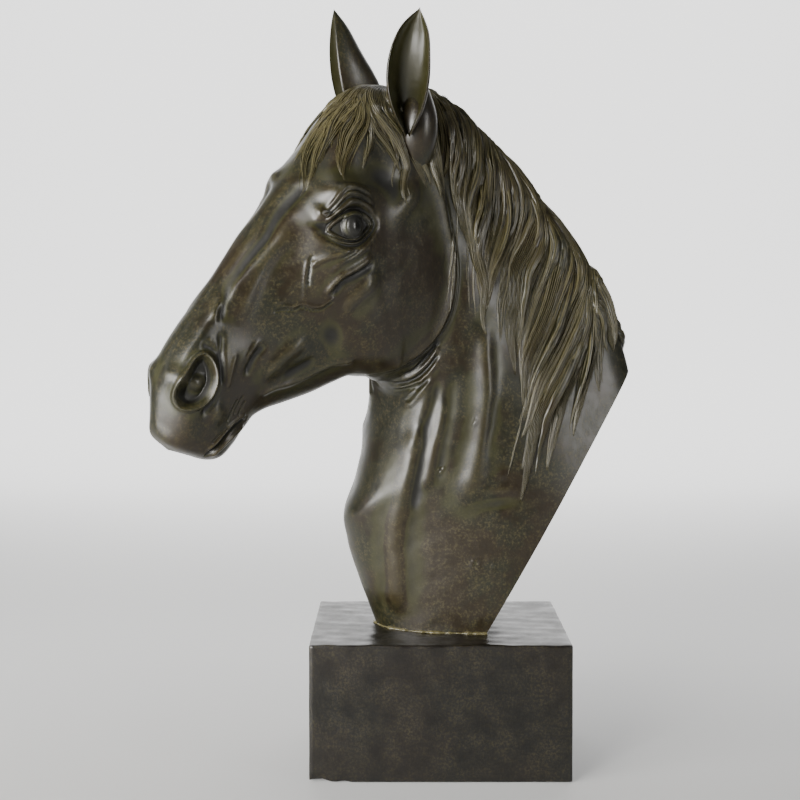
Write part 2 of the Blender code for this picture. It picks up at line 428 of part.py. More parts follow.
def eye_heights(x, z):
    """Eyeball, lids, folds and brow."""
    u = (x - EYE[0]) * math.cos(EYE_TILT) + (z - EYE[1]) * math.sin(EYE_TILT)
    v = (z - EYE[1]) * math.cos(EYE_TILT) - (x - EYE[0]) * math.sin(EYE_TILT)
    share = np.linspace(-1, 1, 25)
    arch = np.cos(share * math.pi / 2).clip(0, 1)
    upper = np.stack([share * EYE_HALF, 8.8 * MM * arch**0.7], axis=1)
    lower = np.stack([share * EYE_HALF, -7.8 * MM * arch**0.8], axis=1)[::-1]
    opening = np.concatenate([upper, lower[1:]])
    distance, side, _ = along_path(u, v, opening)
    out = np.where(side < 0, -distance, distance) / MM
    far = np.hypot(u - 1.6 * MM, v - 1.4 * MM)
    ball = np.sqrt(np.maximum(EYEBALL**2 - far**2, 0)) - EYEBALL + 2.8 * MM
    ball = ball - 0.35 * MM * bell(far, 7.6 * MM, 0.6 * MM)
    ball = np.maximum(ball, -3.2 * MM) * (1 - ease((out - 1) / 9))
    lid = ease(out / 0.7 + 0.5)
    fold = out * (1 + 0.8 * ease(-u / EYE_HALF))
    upper_lid = 2.0 * lid * (1 - ease((out - 4) / 6)) + 0.5 * bell(out, 1.8, 1.3) - 2.8 * bell(fold, 5.4, 1.2)
    upper_lid = upper_lid + 2.2 * bell(fold, 9.0, 2.2) - 1.5 * bell(fold, 12.2, 0.9)
    upper_lid = upper_lid + 1.3 * bell(fold, 14.2, 1.4) - 0.8 * bell(fold, 16.2, 1.0)
    upper_lid = upper_lid + 2.0 * bell(fold, 18.6, 2.2)
    lower_lid = 1.4 * lid * (1 - ease((out - 3) / 5)) + 0.9 * bell(out, 0.7, 0.6) - 1.3 * bell(out, 1.9, 0.6)
    lower_lid = lower_lid + 0.9 * bell(out, 3.1, 0.8) - 1.2 * bell(out, 5.2, 1.1) + 0.8 * bell(out, 8.0, 1.8)
    above = ease((v + 2 * MM) / (4 * MM))
    corner = np.where(out > 2, 1 - ease((np.abs(u - 2 * MM) / (23 * MM) - 0.65) / 0.35), 1)
    lids = (upper_lid * above + lower_lid * (1 - above)) * corner * MM
    return ball + np.where(out > -0.35, lids, 0)


def nostril_heights(x, z):
    """A rim round a hollow whose floor rises again to a soft dish, shallower at the top."""
    rim = curve_through(NOSTRIL_RIM, 5, closed=True)
    distance, side, _ = along_path(x, z, rim)
    inside = side < 0
    out = np.where(inside, -distance, distance) / MM
    shallow = 1 - 0.45 * ease((z - 0.316) / 0.014)
    hollow = -8.0 * ease((-out - 0.2) / 5.0) * shallow
    hollow = hollow + 3.2 * bell(np.hypot(x + 0.2265, z - 0.3110), 0, 7 * MM)
    behind = -1.6 * bell(out, 6, 2.8) * ease((x + 0.224) / (6 * MM))
    return (2.6 * bell(out, 0.4, 1.3) + np.where(inside, hollow, 0) + behind) * MM


def cheek_heights(x, z):
    """The cheek stands over the neck along its rear edge, with a fold behind it."""
    distance, side, share = along_path(x, z, curve_through(CHEEK_EDGE))
    fade = ease(share / 0.12) * ease((1 - share) / 0.25)
    cheek = 2.6 * bell(distance, 0, 9 * MM) * ease(distance / (3 * MM) + 0.4)
    step = 1.04 * bell(distance, 0, 2 * MM)
    trough = -2.4 * (1 - bell(distance, 0, 3 * MM)) * bell(distance, 0, 11 * MM)
    fold = 0.9 * bell(distance, 5 * MM, 1.5 * MM)
    return fade * np.where(side < 0, cheek, step + trough + fold) * MM


def ridge_heights(x, z, height, width, points):
    """A rounded ridge along a line, fading out over its ends by about three widths."""
    path = curve_through(points)
    length = np.linalg.norm(np.diff(path, axis=0), axis=1).sum()
    distance, _, share = along_path(x, z, path)
    ends = np.minimum(share, 1 - share) * length / (width * MM)
    return height * MM * bell(distance, 0, width * MM) * ease(ends / 3)


def carving(x, z):
    """Height of the carving over the plain form, for places in the profile plane."""
    height = np.zeros(x.shape)

    def add(path, reach, heights):
        near = within(x, z, np.asarray(path), reach)
        height[near] += heights(x[near], z[near])

    add([EYE], 0.042, eye_heights)
    add(NOSTRIL_RIM, 0.018, nostril_heights)
    add(CHEEK_EDGE, 0.045, cheek_heights)
    for tall, width, *points in RIDGES:
        add(points, 3 * width * MM, lambda u, v: ridge_heights(u, v, tall, width, points))
    for points in THROAT_FOLDS:
        below = [(u + FOLD_DROP[0], v + FOLD_DROP[1]) for u, v in points]
        add(points, 0.006, lambda u, v: ridge_heights(u, v, -1.8, 1.5, points))
        add(below, 0.006, lambda u, v: ridge_heights(u, v, 1.3, 1.8, below))
    for tall, half_length, half_height, tilt, middle in SWELLINGS:
        u = (x - middle[0]) * math.cos(tilt) + (z - middle[1]) * math.sin(tilt)
        v = (z - middle[1]) * math.cos(tilt) - (x - middle[0]) * math.sin(tilt)
        height += tall * MM * np.exp(-((u / half_length) ** 2 + (v / half_height) ** 2) / MM**2)
    return height


def form_and_normals(along, around, step=1e-4):
    """Places on the plain form with their outward directions."""
    place = plain_form(along, around)
    ahead = plain_form(np.clip(along + step, 0, 1), around) - plain_form(np.clip(along - step, 0, 1), around)
    aside = plain_form(along, around + step) - plain_form(along, around - step)
    outward = np.cross(aside, ahead)
    length = np.linalg.norm(outward, axis=-1, keepdims=True)
    return place, outward / np.maximum(length, 1e-12)


def carved_height(place, outward):
    """Height of the carving at places on the form: it fades out over the top and underside."""
    height = carving(place[..., 0], place[..., 2])
    tall, half_length, half_height, middle = FAR_BROW
    u = (place[..., 0] - middle[0]) / (half_length * MM)
    v = (place[..., 2] - middle[1]) / (half_height * MM)
    height = height + tall * MM * np.exp(-(u**2 + v**2)) * ease(place[..., 1] / 0.020)
    return height * ease((np.abs(outward[..., 1]) - 0.05) / 0.35)


def carved_form(along, around):
    place, outward = form_and_normals(along, around)
    return place + outward * carved_height(place, outward)[..., None], outward


def turned(points):
    """Bends the neck sideways and tilts the head, for places of the unturned bust."""
    x, y, z = points.T
    rise = z + np.maximum(0, FACE_START - x)
    raised = ease((rise - TURN_LOW) / (TURN_HIGH - TURN_LOW))
    share = raised * ease((BEND_START - x) / (BEND_START - BEND_END))
    roll = HEAD_ROLL * share
    aside = y * np.cos(roll) - (z - ROLL_HEIGHT) * np.sin(roll)
    height = ROLL_HEIGHT + y * np.sin(roll) + (z - ROLL_HEIGHT) * np.cos(roll)
    nodes, weights = np.polynomial.legendre.leggauss(12)
    half = (BEND_START - x)[:, None] / 2
    way = half * (nodes + 1)
    heading = HEAD_YAW * raised[:, None] * ease(way / (BEND_START - BEND_END)) * (way > 0)
    ahead = (np.cos(heading) * weights * half).sum(axis=1)
    sideways = (np.sin(heading) * weights * half).sum(axis=1)
    yaw = HEAD_YAW * share
    return np.stack([
        BEND_START - ahead - aside * np.sin(yaw),
        aside * np.cos(yaw) - sideways,
        height,
    ], axis=1)


def loft(mesh, rings):
    """Adds a closed loft through rings of points, its ends closed to their middles."""
    count = rings.shape[1]
    rows = [[mesh.verts.new(point) for point in ring] for ring in rings]
    for first, second in zip(rows, rows[1:]):
        for k in range(count):
            mesh.faces.new((first[k], second[k], second[(k + 1) % count], first[(k + 1) % count]))
    for row, ring, flip in ((rows[0], rings[0], True), (rows[-1], rings[-1], False)):
        middle = mesh.verts.new(ring.mean(axis=0))
        for k in range(count):
            face = (row[k], row[(k + 1) % count], middle)
            mesh.faces.new(face if flip else face[::-1])


def body_rings():
    along, around = np.meshgrid(
        np.linspace(0.002, 1, ALONG_STEPS), np.arange(ROUND_STEPS) / ROUND_STEPS, indexing="ij"
    )
    return carved_form(along, around)[0]


def lock_rings(width, height, way, rows=26, across=10):
    """A tapered lock with a crowned back, laid along its way over the carved form."""
    path = np.array(way)
    path[:, 1] = np.where(path[:, 1] > 0.5, path[:, 1] - 1, path[:, 1])
    fine = curve_through(path, 12)
    spans = np.linalg.norm(np.diff(carved_form(*fine.T)[0], axis=0), axis=1)
    lengths = np.concatenate([[0], np.cumsum(spans)])
    share = np.linspace(0, 1, rows)
    along, around = (np.interp(share * lengths[-1], lengths, line) for line in fine.T)
    place, outward = carved_form(along, around)
    forward = np.gradient(place, axis=0)
    aside = np.cross(outward, forward)
    aside /= np.linalg.norm(aside, axis=1, keepdims=True)
    taper = np.minimum(1, 0.55 + share * 3) * (1 - share**3) ** 0.8 + 0.03
    turn = np.arange(across) / across * 2 * math.pi
    crown = np.where(np.sin(turn) > 0, np.sin(turn) * height, np.sin(turn) * 3.0) * MM
    half = np.cos(turn) * width / 2 * MM
    ring = aside[:, None] * (half[None, :, None] * taper[:, None, None])
    lift = outward[:, None] * (crown[None, :, None] * np.maximum(taper, 0.25)[:, None, None])
    return place[:, None] + ring + lift


def far_root_locks():
    for k in range(FAR_ROOTS):
        start = 0.430 + 0.255 * k / (FAR_ROOTS - 1)
        reach = FAR_ROOT_REACH * (1 - 0.25 * (k % 3))
        yield 13, 5, (start - 0.012, 0.020), (start + 0.004, 1 - reach * 0.4), (start + 0.020, 1 - reach)


def ear_frames(points, values, rows, facing):
    """Middles, side directions, front directions and the values read along an ear."""
    knots = np.linspace(0, 1, len(points))
    share = np.linspace(0, 1, rows)
    middle = hermite(knots, np.array(points), share)
    forward = np.gradient(middle, axis=0)
    forward /= np.linalg.norm(forward, axis=1, keepdims=True)
    front = np.array([facing[0], facing[1], 0.0])
    front = front - forward * (forward @ front)[:, None]
    front /= np.linalg.norm(front, axis=1, keepdims=True)
    sizes = [hermite(knots, np.array(value)[:, None], share)[:, 0] for value in values]
    return middle, np.cross(forward, front), front, sizes


def ear_rings(way, facing, half_widths, depths, rows=34, across=18):
    """A cupped leaf: the outer arc of the cup, then back along the inner arc."""
    middle, aside, front, (half, depth) = ear_frames(way, (half_widths, depths), rows, facing)
    curl = np.radians(np.interp(np.linspace(0, 1, rows), (0, 0.35, 1), (128, 108, 92)))
    arc = np.linspace(-1, 1, across)[None, :] * curl[:, None]
    wall = np.minimum(EAR_WALL, half[:, None] * 0.45)

    def cup(inset):
        behind = np.maximum(depth[:, None] - inset, 0.1 * MM)
        ahead = np.minimum(EAR_LIP, depth[:, None])
        reach = np.where(np.cos(arc) > 0, behind, ahead)
        return np.stack([np.sin(arc) * (half[:, None] - inset), -np.cos(arc) * reach], axis=-1)

    section = np.concatenate([cup(0), cup(wall)[:, ::-1]], axis=1)
    return middle[:, None] + aside[:, None] * section[..., :1] + front[:, None] * section[..., 1:]


def ear_root_rings(way, radii, facing, rows=16, across=18):
    middle, aside, front, (radius,) = ear_frames(way, (radii,), rows, facing)
    turn = np.arange(across) / across * 2 * math.pi
    ring = aside[:, None] * np.sin(turn)[None, :, None] + front[:, None] * np.cos(turn)[None, :, None]
    return middle[:, None] + ring * radius[:, None, None]


def bust_mesh():
    """All lofts of the bust, turned, in one mesh of overlapping closed bodies."""
    shapes = [body_rings()]
    for ear, root in ((NEAR_EAR, NEAR_EAR_ROOT), (FAR_EAR, FAR_EAR_ROOT)):
        shapes.append(ear_rings(*ear))
        shapes.append(ear_root_rings(*root, ear[1]))
    for width, height, *way in MANE + CREST_ROLLS + FORELOCK + tuple(far_root_locks()):
        shapes.append(lock_rings(width, height, way))
    built = bmesh.new()
    for rings in shapes:
        rows, count = rings.shape[:2]
        loft(built, turned(rings.reshape(-1, 3)).reshape(rows, count, 3))
    bmesh.ops.recalc_face_normals(built, faces=built.faces)
    mesh = bpy.data.meshes.new("horse_bust")
    built.to_mesh(mesh)
    built.free()
    return mesh


def finish(name, colour, roughness, metallic):
    material = bpy.data.materials.new(name)
    material.use_nodes = True
    shader = material.node_tree.nodes["Principled BSDF"]
    shader.inputs["Base Color"].default_value = (*colour, 1.0)
    shader.inputs["Roughness"].default_value = roughness
    shader.inputs["Metallic"].default_value = metallic
    return material


def cube(name, size, middle, collection):
    bpy.ops.mesh.primitive_cube_add(size=1, location=middle)
    obj = bpy.context.object
    obj.name = name
    obj.data.name = name
    obj.scale = size
    bpy.ops.object.transform_apply(location=False, rotation=False, scale=True)
    for other in list(obj.users_collection):
        other.objects.unlink(obj)
    collection.objects.link(obj)
    return obj


def cutter(name, size, middle, tilt, collection):
    obj = cube(name, size, middle, collection)
    obj.rotation_euler = (0, tilt, 0)
    obj.hide_render = True
    obj.display_type = "WIRE"
    return obj


def cut_away(obj, tool):
    cut = obj.modifiers.new("cut by " + tool.name, "BOOLEAN")
    cut.operation = "DIFFERENCE"
    cut.solver = "EXACT"
    cut.object = tool


def make_plinth(collection):
    plinth = cube(
        "plinth", (PLINTH_LENGTH, PLINTH_DEPTH, PLINTH_HEIGHT), (0, 0, PLINTH_HEIGHT / 2), collection
    )
    rounding = plinth.modifiers.new("soft edges", "BEVEL")
    rounding.width = PLINTH_EDGE
    rounding.segments = 3
    rounding.limit_method = "ANGLE"
    plinth.data.materials.append(finish("dark bronze plinth", (0.020, 0.018, 0.013), 0.40, 0.25))
    plinth.data.shade_smooth()
    return plinth


def make_bust(collection, cutters):
    bust = bpy.data.objects.new("horse_bust", bust_mesh())
    collection.objects.link(bust)
    bust.data.materials.append(finish("waxed bronze", (0.028, 0.026, 0.017), 0.32, 0.25))
    skin = bust.modifiers.new("one skin", "REMESH")
    skin.mode = "VOXEL"
    skin.voxel_size = VOXEL
    skin.use_smooth_shade = True
    fewer = bust.modifiers.new("fewer faces", "DECIMATE")
    fewer.ratio = KEPT_SHARE
    foot = PLINTH_HEIGHT + GAP
    cut_away(bust, cutter("foot cut", (0.6, 0.4, 0.2), (0.1, 0, foot - 0.1), 0, cutters))
    foot_x, foot_z = BACK_CUT_FOOT
    crest_x, crest_z = BACK_CUT_CREST
    lean = math.atan2(crest_x - foot_x, crest_z - foot_z)
    reach = 0.15
    middle = (foot_x + reach * math.cos(lean), 0, foot_z - reach * math.sin(lean))
    cut_away(bust, cutter("back cut", (2 * reach, 0.4, 0.7), middle, lean, cutters))
    return bust


def main():
    for obj in list(bpy.data.objects):
        bpy.data.objects.remove(obj, do_unlink=True)
    parts = bpy.data.collections.new("horse head sculpture")
    cutters = bpy.data.collections.new("cutters")
    for collection in (parts, cutters):
        bpy.context.scene.collection.children.link(collection)
    make_plinth(parts)
    make_bust(parts, cutters)


main()
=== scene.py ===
"""A horse's head and neck in a dark waxed bronze finish, on a rectangular plinth.

The bust is laid out unturned in a profile plane, nose to -X, near side to -Y, crest to +X.
Every skin point is a place on sections that fan round the throat, moved along its normal by
the height of the carving there. Hair, ears and the back are grids of their own over that form,
and the whole is then turned at the neck towards the near side.
"""
import json
import math

import bpy
import numpy as np
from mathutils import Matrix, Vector

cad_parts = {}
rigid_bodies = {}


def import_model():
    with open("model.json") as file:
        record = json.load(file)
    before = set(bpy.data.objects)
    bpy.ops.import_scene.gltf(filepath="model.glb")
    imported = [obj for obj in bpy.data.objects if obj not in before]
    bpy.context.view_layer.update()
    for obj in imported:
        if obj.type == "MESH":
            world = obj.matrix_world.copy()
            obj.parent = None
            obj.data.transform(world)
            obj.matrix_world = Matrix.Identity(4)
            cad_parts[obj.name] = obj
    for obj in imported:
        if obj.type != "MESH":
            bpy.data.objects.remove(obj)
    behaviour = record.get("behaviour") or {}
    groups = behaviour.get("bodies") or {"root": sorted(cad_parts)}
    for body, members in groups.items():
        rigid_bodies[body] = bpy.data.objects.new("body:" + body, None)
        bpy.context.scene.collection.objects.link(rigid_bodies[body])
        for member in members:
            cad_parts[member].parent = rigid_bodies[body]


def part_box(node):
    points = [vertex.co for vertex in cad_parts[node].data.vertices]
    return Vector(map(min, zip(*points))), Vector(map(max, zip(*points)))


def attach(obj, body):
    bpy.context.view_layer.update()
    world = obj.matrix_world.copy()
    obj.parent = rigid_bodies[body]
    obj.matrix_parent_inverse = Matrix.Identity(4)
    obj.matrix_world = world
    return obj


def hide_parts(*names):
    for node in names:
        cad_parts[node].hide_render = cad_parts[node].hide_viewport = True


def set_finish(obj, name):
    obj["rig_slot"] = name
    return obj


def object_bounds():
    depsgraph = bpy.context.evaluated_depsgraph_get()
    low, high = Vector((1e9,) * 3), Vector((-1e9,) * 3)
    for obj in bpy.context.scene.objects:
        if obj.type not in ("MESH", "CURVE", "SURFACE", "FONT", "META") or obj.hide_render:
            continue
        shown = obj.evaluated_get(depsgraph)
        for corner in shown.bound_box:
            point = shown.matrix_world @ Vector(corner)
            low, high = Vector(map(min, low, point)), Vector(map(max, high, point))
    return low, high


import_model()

cad_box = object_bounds()
MM = 0.001

PLINTH_LOW, PLINTH_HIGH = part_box("plinth")
PLINTH_TOP = PLINTH_HIGH.z
PLINTH_ROUNDING = 1.8 * MM
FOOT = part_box("horse_bust")[0].z

# Fineness of the skin, and the share along at which the head's grid meets the neck's
SEAM = 0.44
SKIN_COLUMNS = 300
HEAD_GRID_ROWS = 270
NECK_GRID_ROWS = 190

# Strands cut into a lock, in millimetres, and the rows and columns of the hair's grids
STRAND_DEPTH = 2.0
STRAND_WIDTH = 1.65
LOCK_ROWS, LOCK_COLUMNS = 66, 58
FILLING_COLUMNS = 40
LOOSE_ROWS, LOOSE_COLUMNS = 44, 12
FORELOCK_ROWS, FORELOCK_COLUMNS = 56, 42

# Locks of the mane that start below the crest, how many thin locks lie over the others and
# over each lock of the forelock, and how many short roots show on the far side
MID_LOCKS = (13, 14)
LOOSE_LOCKS = 96
LOOSE_COPIES = 5
FAR_ROOT_COUNT = 30
FAR_ROOT_REACH = 0.085

# Weights of the keys that a number which looks random is made from
HASH_WEIGHTS = (12.9898, 78.233, 37.719, 4.581)

# The glue's bead round the foot: steps along it and sides of its ring
BEAD_STEPS = 420
BEAD_SIDES = 14

# Steps round the plinth, and rows over its underside, its sides and its top
PLINTH_STEPS = 320
UNDERSIDE_ROWS = 14
PLINTH_ROWS = 36


def thousandths(values):
    """Values written in thousandths: millimetres as metres, or shares of a way."""
    return np.array(values, float) / 1000


# Thin hairs behind the cheek, as (share along, share round) in thousandths
CHEEK_WISPS = (
    ((452, 200), (458, 235), (468, 270), (480, 295)),
    ((460, 190), (468, 225), (480, 258), (492, 280)),
    ((448, 215), (455, 255), (462, 290)),
    ((485, 200), (500, 228), (516, 244), (532, 254)),
    ((505, 210), (522, 232), (545, 246)),
    ((700, 200), (722, 214), (740, 227), (755, 236)),
)

# Nicks on the neck, as place in the profile plane and reach, in millimetres
NICKS = ((26.8, 161.3, 2.6), (41.4, 158.3, 1.5), (-14.8, 237.0, 1.8))

# Chips in the plinth's lower edge, as place, reach and rise
PLINTH_CHIPS = (
    ((-0.0930, -0.0790), 0.0075, 0.0028),
    ((-0.0740, -0.0790), 0.0040, 0.0010),
    ((0.1005, -0.0600), 0.0050, 0.0012),
)

# Bronze colours
UMBER = (0.014, 0.009, 0.0028)
OLIVE = (0.007, 0.008, 0.0024)
STAIN = (0.005, 0.004, 0.002)
KHAKI = (0.047, 0.038, 0.013)
RUBBED = (0.110, 0.096, 0.042)
MOSS = (0.026, 0.026, 0.007)
# Black of the grooves: black patina together with painted shade in the hollows
BLACK_PATINA_AND_SHADE = (0.002, 0.0018, 0.0014)
PLINTH_BROWN = (0.004, 0.0025, 0.0012)
PLINTH_OLIVE = (0.0022, 0.0019, 0.001)
WAX_IOR = 1.50

# Strength of the world's light in front of the bust and elsewhere
WORLD_FRONT = 0.10
WORLD_SIDE = 0.14

# Soft boxes: name, place, point aimed at, size and power
SOFT_BOXES = (
    ("left front box", (-1.0, -0.84, 0.42), (-0.03, 0, 0.36), (1.0, 0.75), 36),
    ("front box", (-0.78, -1.50, 0.74), (-0.03, 0, 0.40), (0.42, 1.1), 24),
    ("left box", (-1.8, 0.1, 1.0), (-0.05, 0, 0.40), (0.3, 1.2), 2),
    ("right box", (1.27, -0.97, 0.58), (0, 0, 0.40), (0.36, 0.9), 8),
    ("top box", (-0.4, -0.3, 1.8), (-0.05, 0, 0.45), (0.6, 0.5), 1.5),
)
LIGHT_COLOUR = (1.0, 0.98, 0.95)

# Floor and wall: half width, where the curve up begins, its radius, and the wall's height
ROOM_HALF = 14.0
CURVE_START = 1.6
CURVE_RADIUS = 1.2
WALL_HEIGHT = 6.0
FLOOR_LEVEL = -0.5 * MM

CAMERA_PLACE = (-0.031, -1.1454, 0.3702)
CAMERA_DROP = math.radians(1.67)
CAMERA_LENS = 63.86
CAMERA_SHIFT = -0.08


# How the neck turns: yaw and roll grow from BEND_START to BEND_END, above TURN_LOW
HEAD_YAW = math.radians(38)
HEAD_ROLL = math.radians(7)
BEND_START = 0.090
BEND_END = -0.045
TURN_LOW = 0.130
TURN_HIGH = 0.310
FACE_START = -0.075
ROLL_HEIGHT = 0.430

# Flat cut behind the neck: a point near its foot and one at the crest, as (x, z)
BACK_CUT_FOOT = (0.0378, 0.1070)
BACK_CUT_CREST = (0.1478, 0.2985)
BACK_CUT_WAY = np.subtract(BACK_CUT_CREST, BACK_CUT_FOOT) / math.dist(BACK_CUT_CREST, BACK_CUT_FOOT)
BACK_CUT_OUT = np.array([BACK_CUT_WAY[1], 0, -BACK_CUT_WAY[0]])
BACK_CUT_PLACE = np.array([BACK_CUT_FOOT[0], 0, BACK_CUT_FOOT[1]])

# The head's own directions in the profile plane: down the face, and across to the jaw
POLL = np.array([-0.062, 0.531])
DOWN_FACE = np.array([-0.572, -0.820]) / math.hypot(0.572, 0.820)
TO_JAW = np.array([-DOWN_FACE[1], DOWN_FACE[0]])

# Share of a section's depth at which each half width in the rows is taken
DEPTHS = (0.0, 0.05, 0.17, 0.34, 0.52, 0.70, 0.86, 0.96, 1.0)

# Head rows, lips to poll, in millimetres: (down face, to jaw) of the upper line and of the
# lower line, then half widths
HEAD_ROWS = (
    ((321.5, 15), (321.5, 15), (0, 0, 0, 0, 0, 0, 0)),
    ((318.5, -0.5), (316.5, 30), (6, 11, 14, 14.5, 13, 9, 4)),
    ((308.5, -10.5), (312, 43.5), (7, 14, 19, 19.5, 17, 13, 7)),
    ((296.5, -19.5), (305, 52), (10, 18, 23.5, 22.5, 19.5, 16, 9)),
    ((283, -26.5), (292, 55), (13, 21, 26, 23.5, 20, 17, 10)),
    ((265, -30), (279, 56), (15, 21.5, 27, 24, 20, 15.5, 9)),
    ((245, -30.5), (261, 60), (16, 20.5, 25, 24, 20.5, 15, 9)),
    ((225, -30.5), (243, 74.5), (16, 20, 24, 25.5, 22.5, 16.5, 9)),
    ((200, -31), (224, 90), (17, 21.5, 26.5, 29, 27, 21, 12)),
    ((175, -31), (209, 99.5), (18, 24.5, 32.5, 35, 33, 27, 16)),
    ((150, -30), (198.5, 106.2), (20, 30, 40.5, 42, 41, 35, 21)),
    ((125, -29.5), (192.5, 115.5), (23, 40, 49, 46, 46, 41, 25)),
    ((100, -29), (188, 123), (27, 47, 51, 49.5, 48.5, 44, 27)),
    ((75, -27.5), (185, 129), (26, 41, 47.5, 49, 48.5, 44.5, 27)),
    ((50, -27), (184, 134), (25, 36, 44, 48, 48.5, 44, 27)),
    ((25, -20.5), (183.5, 137), (22, 31, 42, 47, 48, 43, 26)),
)

# Neck rows, poll to foot, in millimetres: (x, z) on the crest and on the throat, then half widths
NECK_ROWS = (
    ((-62, 529), (-47, 302), (19, 29, 40, 46, 47, 41, 25)),
    ((-36, 531), (-42.5, 297), (17, 28, 38.5, 45, 46, 38.5, 23)),
    ((-8, 523), (-40, 290), (15, 26, 37, 43, 43, 35, 21)),
    ((22, 505), (-42, 279), (14, 25, 37, 42, 41, 33, 20)),
    ((54, 477), (-46.5, 264), (13, 24, 38, 44, 43, 34, 20)),
    ((87, 436), (-54, 243), (13, 24, 39, 47, 46, 36, 21)),
    ((116, 395.5), (-66, 216), (13, 25, 40, 50, 49, 38, 22)),
    ((136, 364), (-75.5, 196), (13, 25, 41, 51, 50, 39, 23)),
    ((151, 320), (-73.5, 173), (13, 25, 41, 51, 50, 39, 23)),
    ((165, 260), (-65.5, 145), (12, 25, 40, 49, 48, 38, 22)),
    ((170, 180), (-54.5, 116), (12, 25, 38, 45, 44, 36, 21)),
    ((165, 105), (-46.5, 94), (12, 24, 36, 42, 41, 34, 20)),
    ((155, 60), (-40, 70), (12, 24, 35, 41, 40, 33, 20)),
)

# The eye's middle, half length and tilt, and the rim of the nostril, in the profile plane
EYE = (-0.1210, 0.4240)
EYE_HALF = 0.0175
EYE_TILT = 0.16
EYEBALL = 0.0135
BALL_MIDDLE = (1.6 * MM, 1.4 * MM)
NOSTRIL_RIM = thousandths((
    (-220.5, 330.5), (-216, 326.5), (-213.5, 318.5), (-213.8, 310), (-217.6, 300.5), (-224.3, 294.8),
    (-232, 292.6), (-236.8, 294.1), (-239.7, 299.5), (-239.1, 306), (-235.8, 313.5), (-231, 321.8),
    (-226.2, 328.2),
))

# Rings round the eye's opening, in millimetres: height, distance from the rim and width
UPPER_FOLDS = ((-2.8, 5.4, 1.2), (2.2, 9.0, 2.2), (-1.5, 12.2, 0.9), (1.3, 14.2, 1.4), (-0.8, 16.2, 1.0),
               (2.0, 18.6, 2.2))
LOWER_FOLDS = ((0.9, 0.7, 0.6), (-1.3, 1.9, 0.6), (0.9, 3.1, 0.8), (-1.2, 5.2, 1.1), (0.8, 8.0, 1.8))

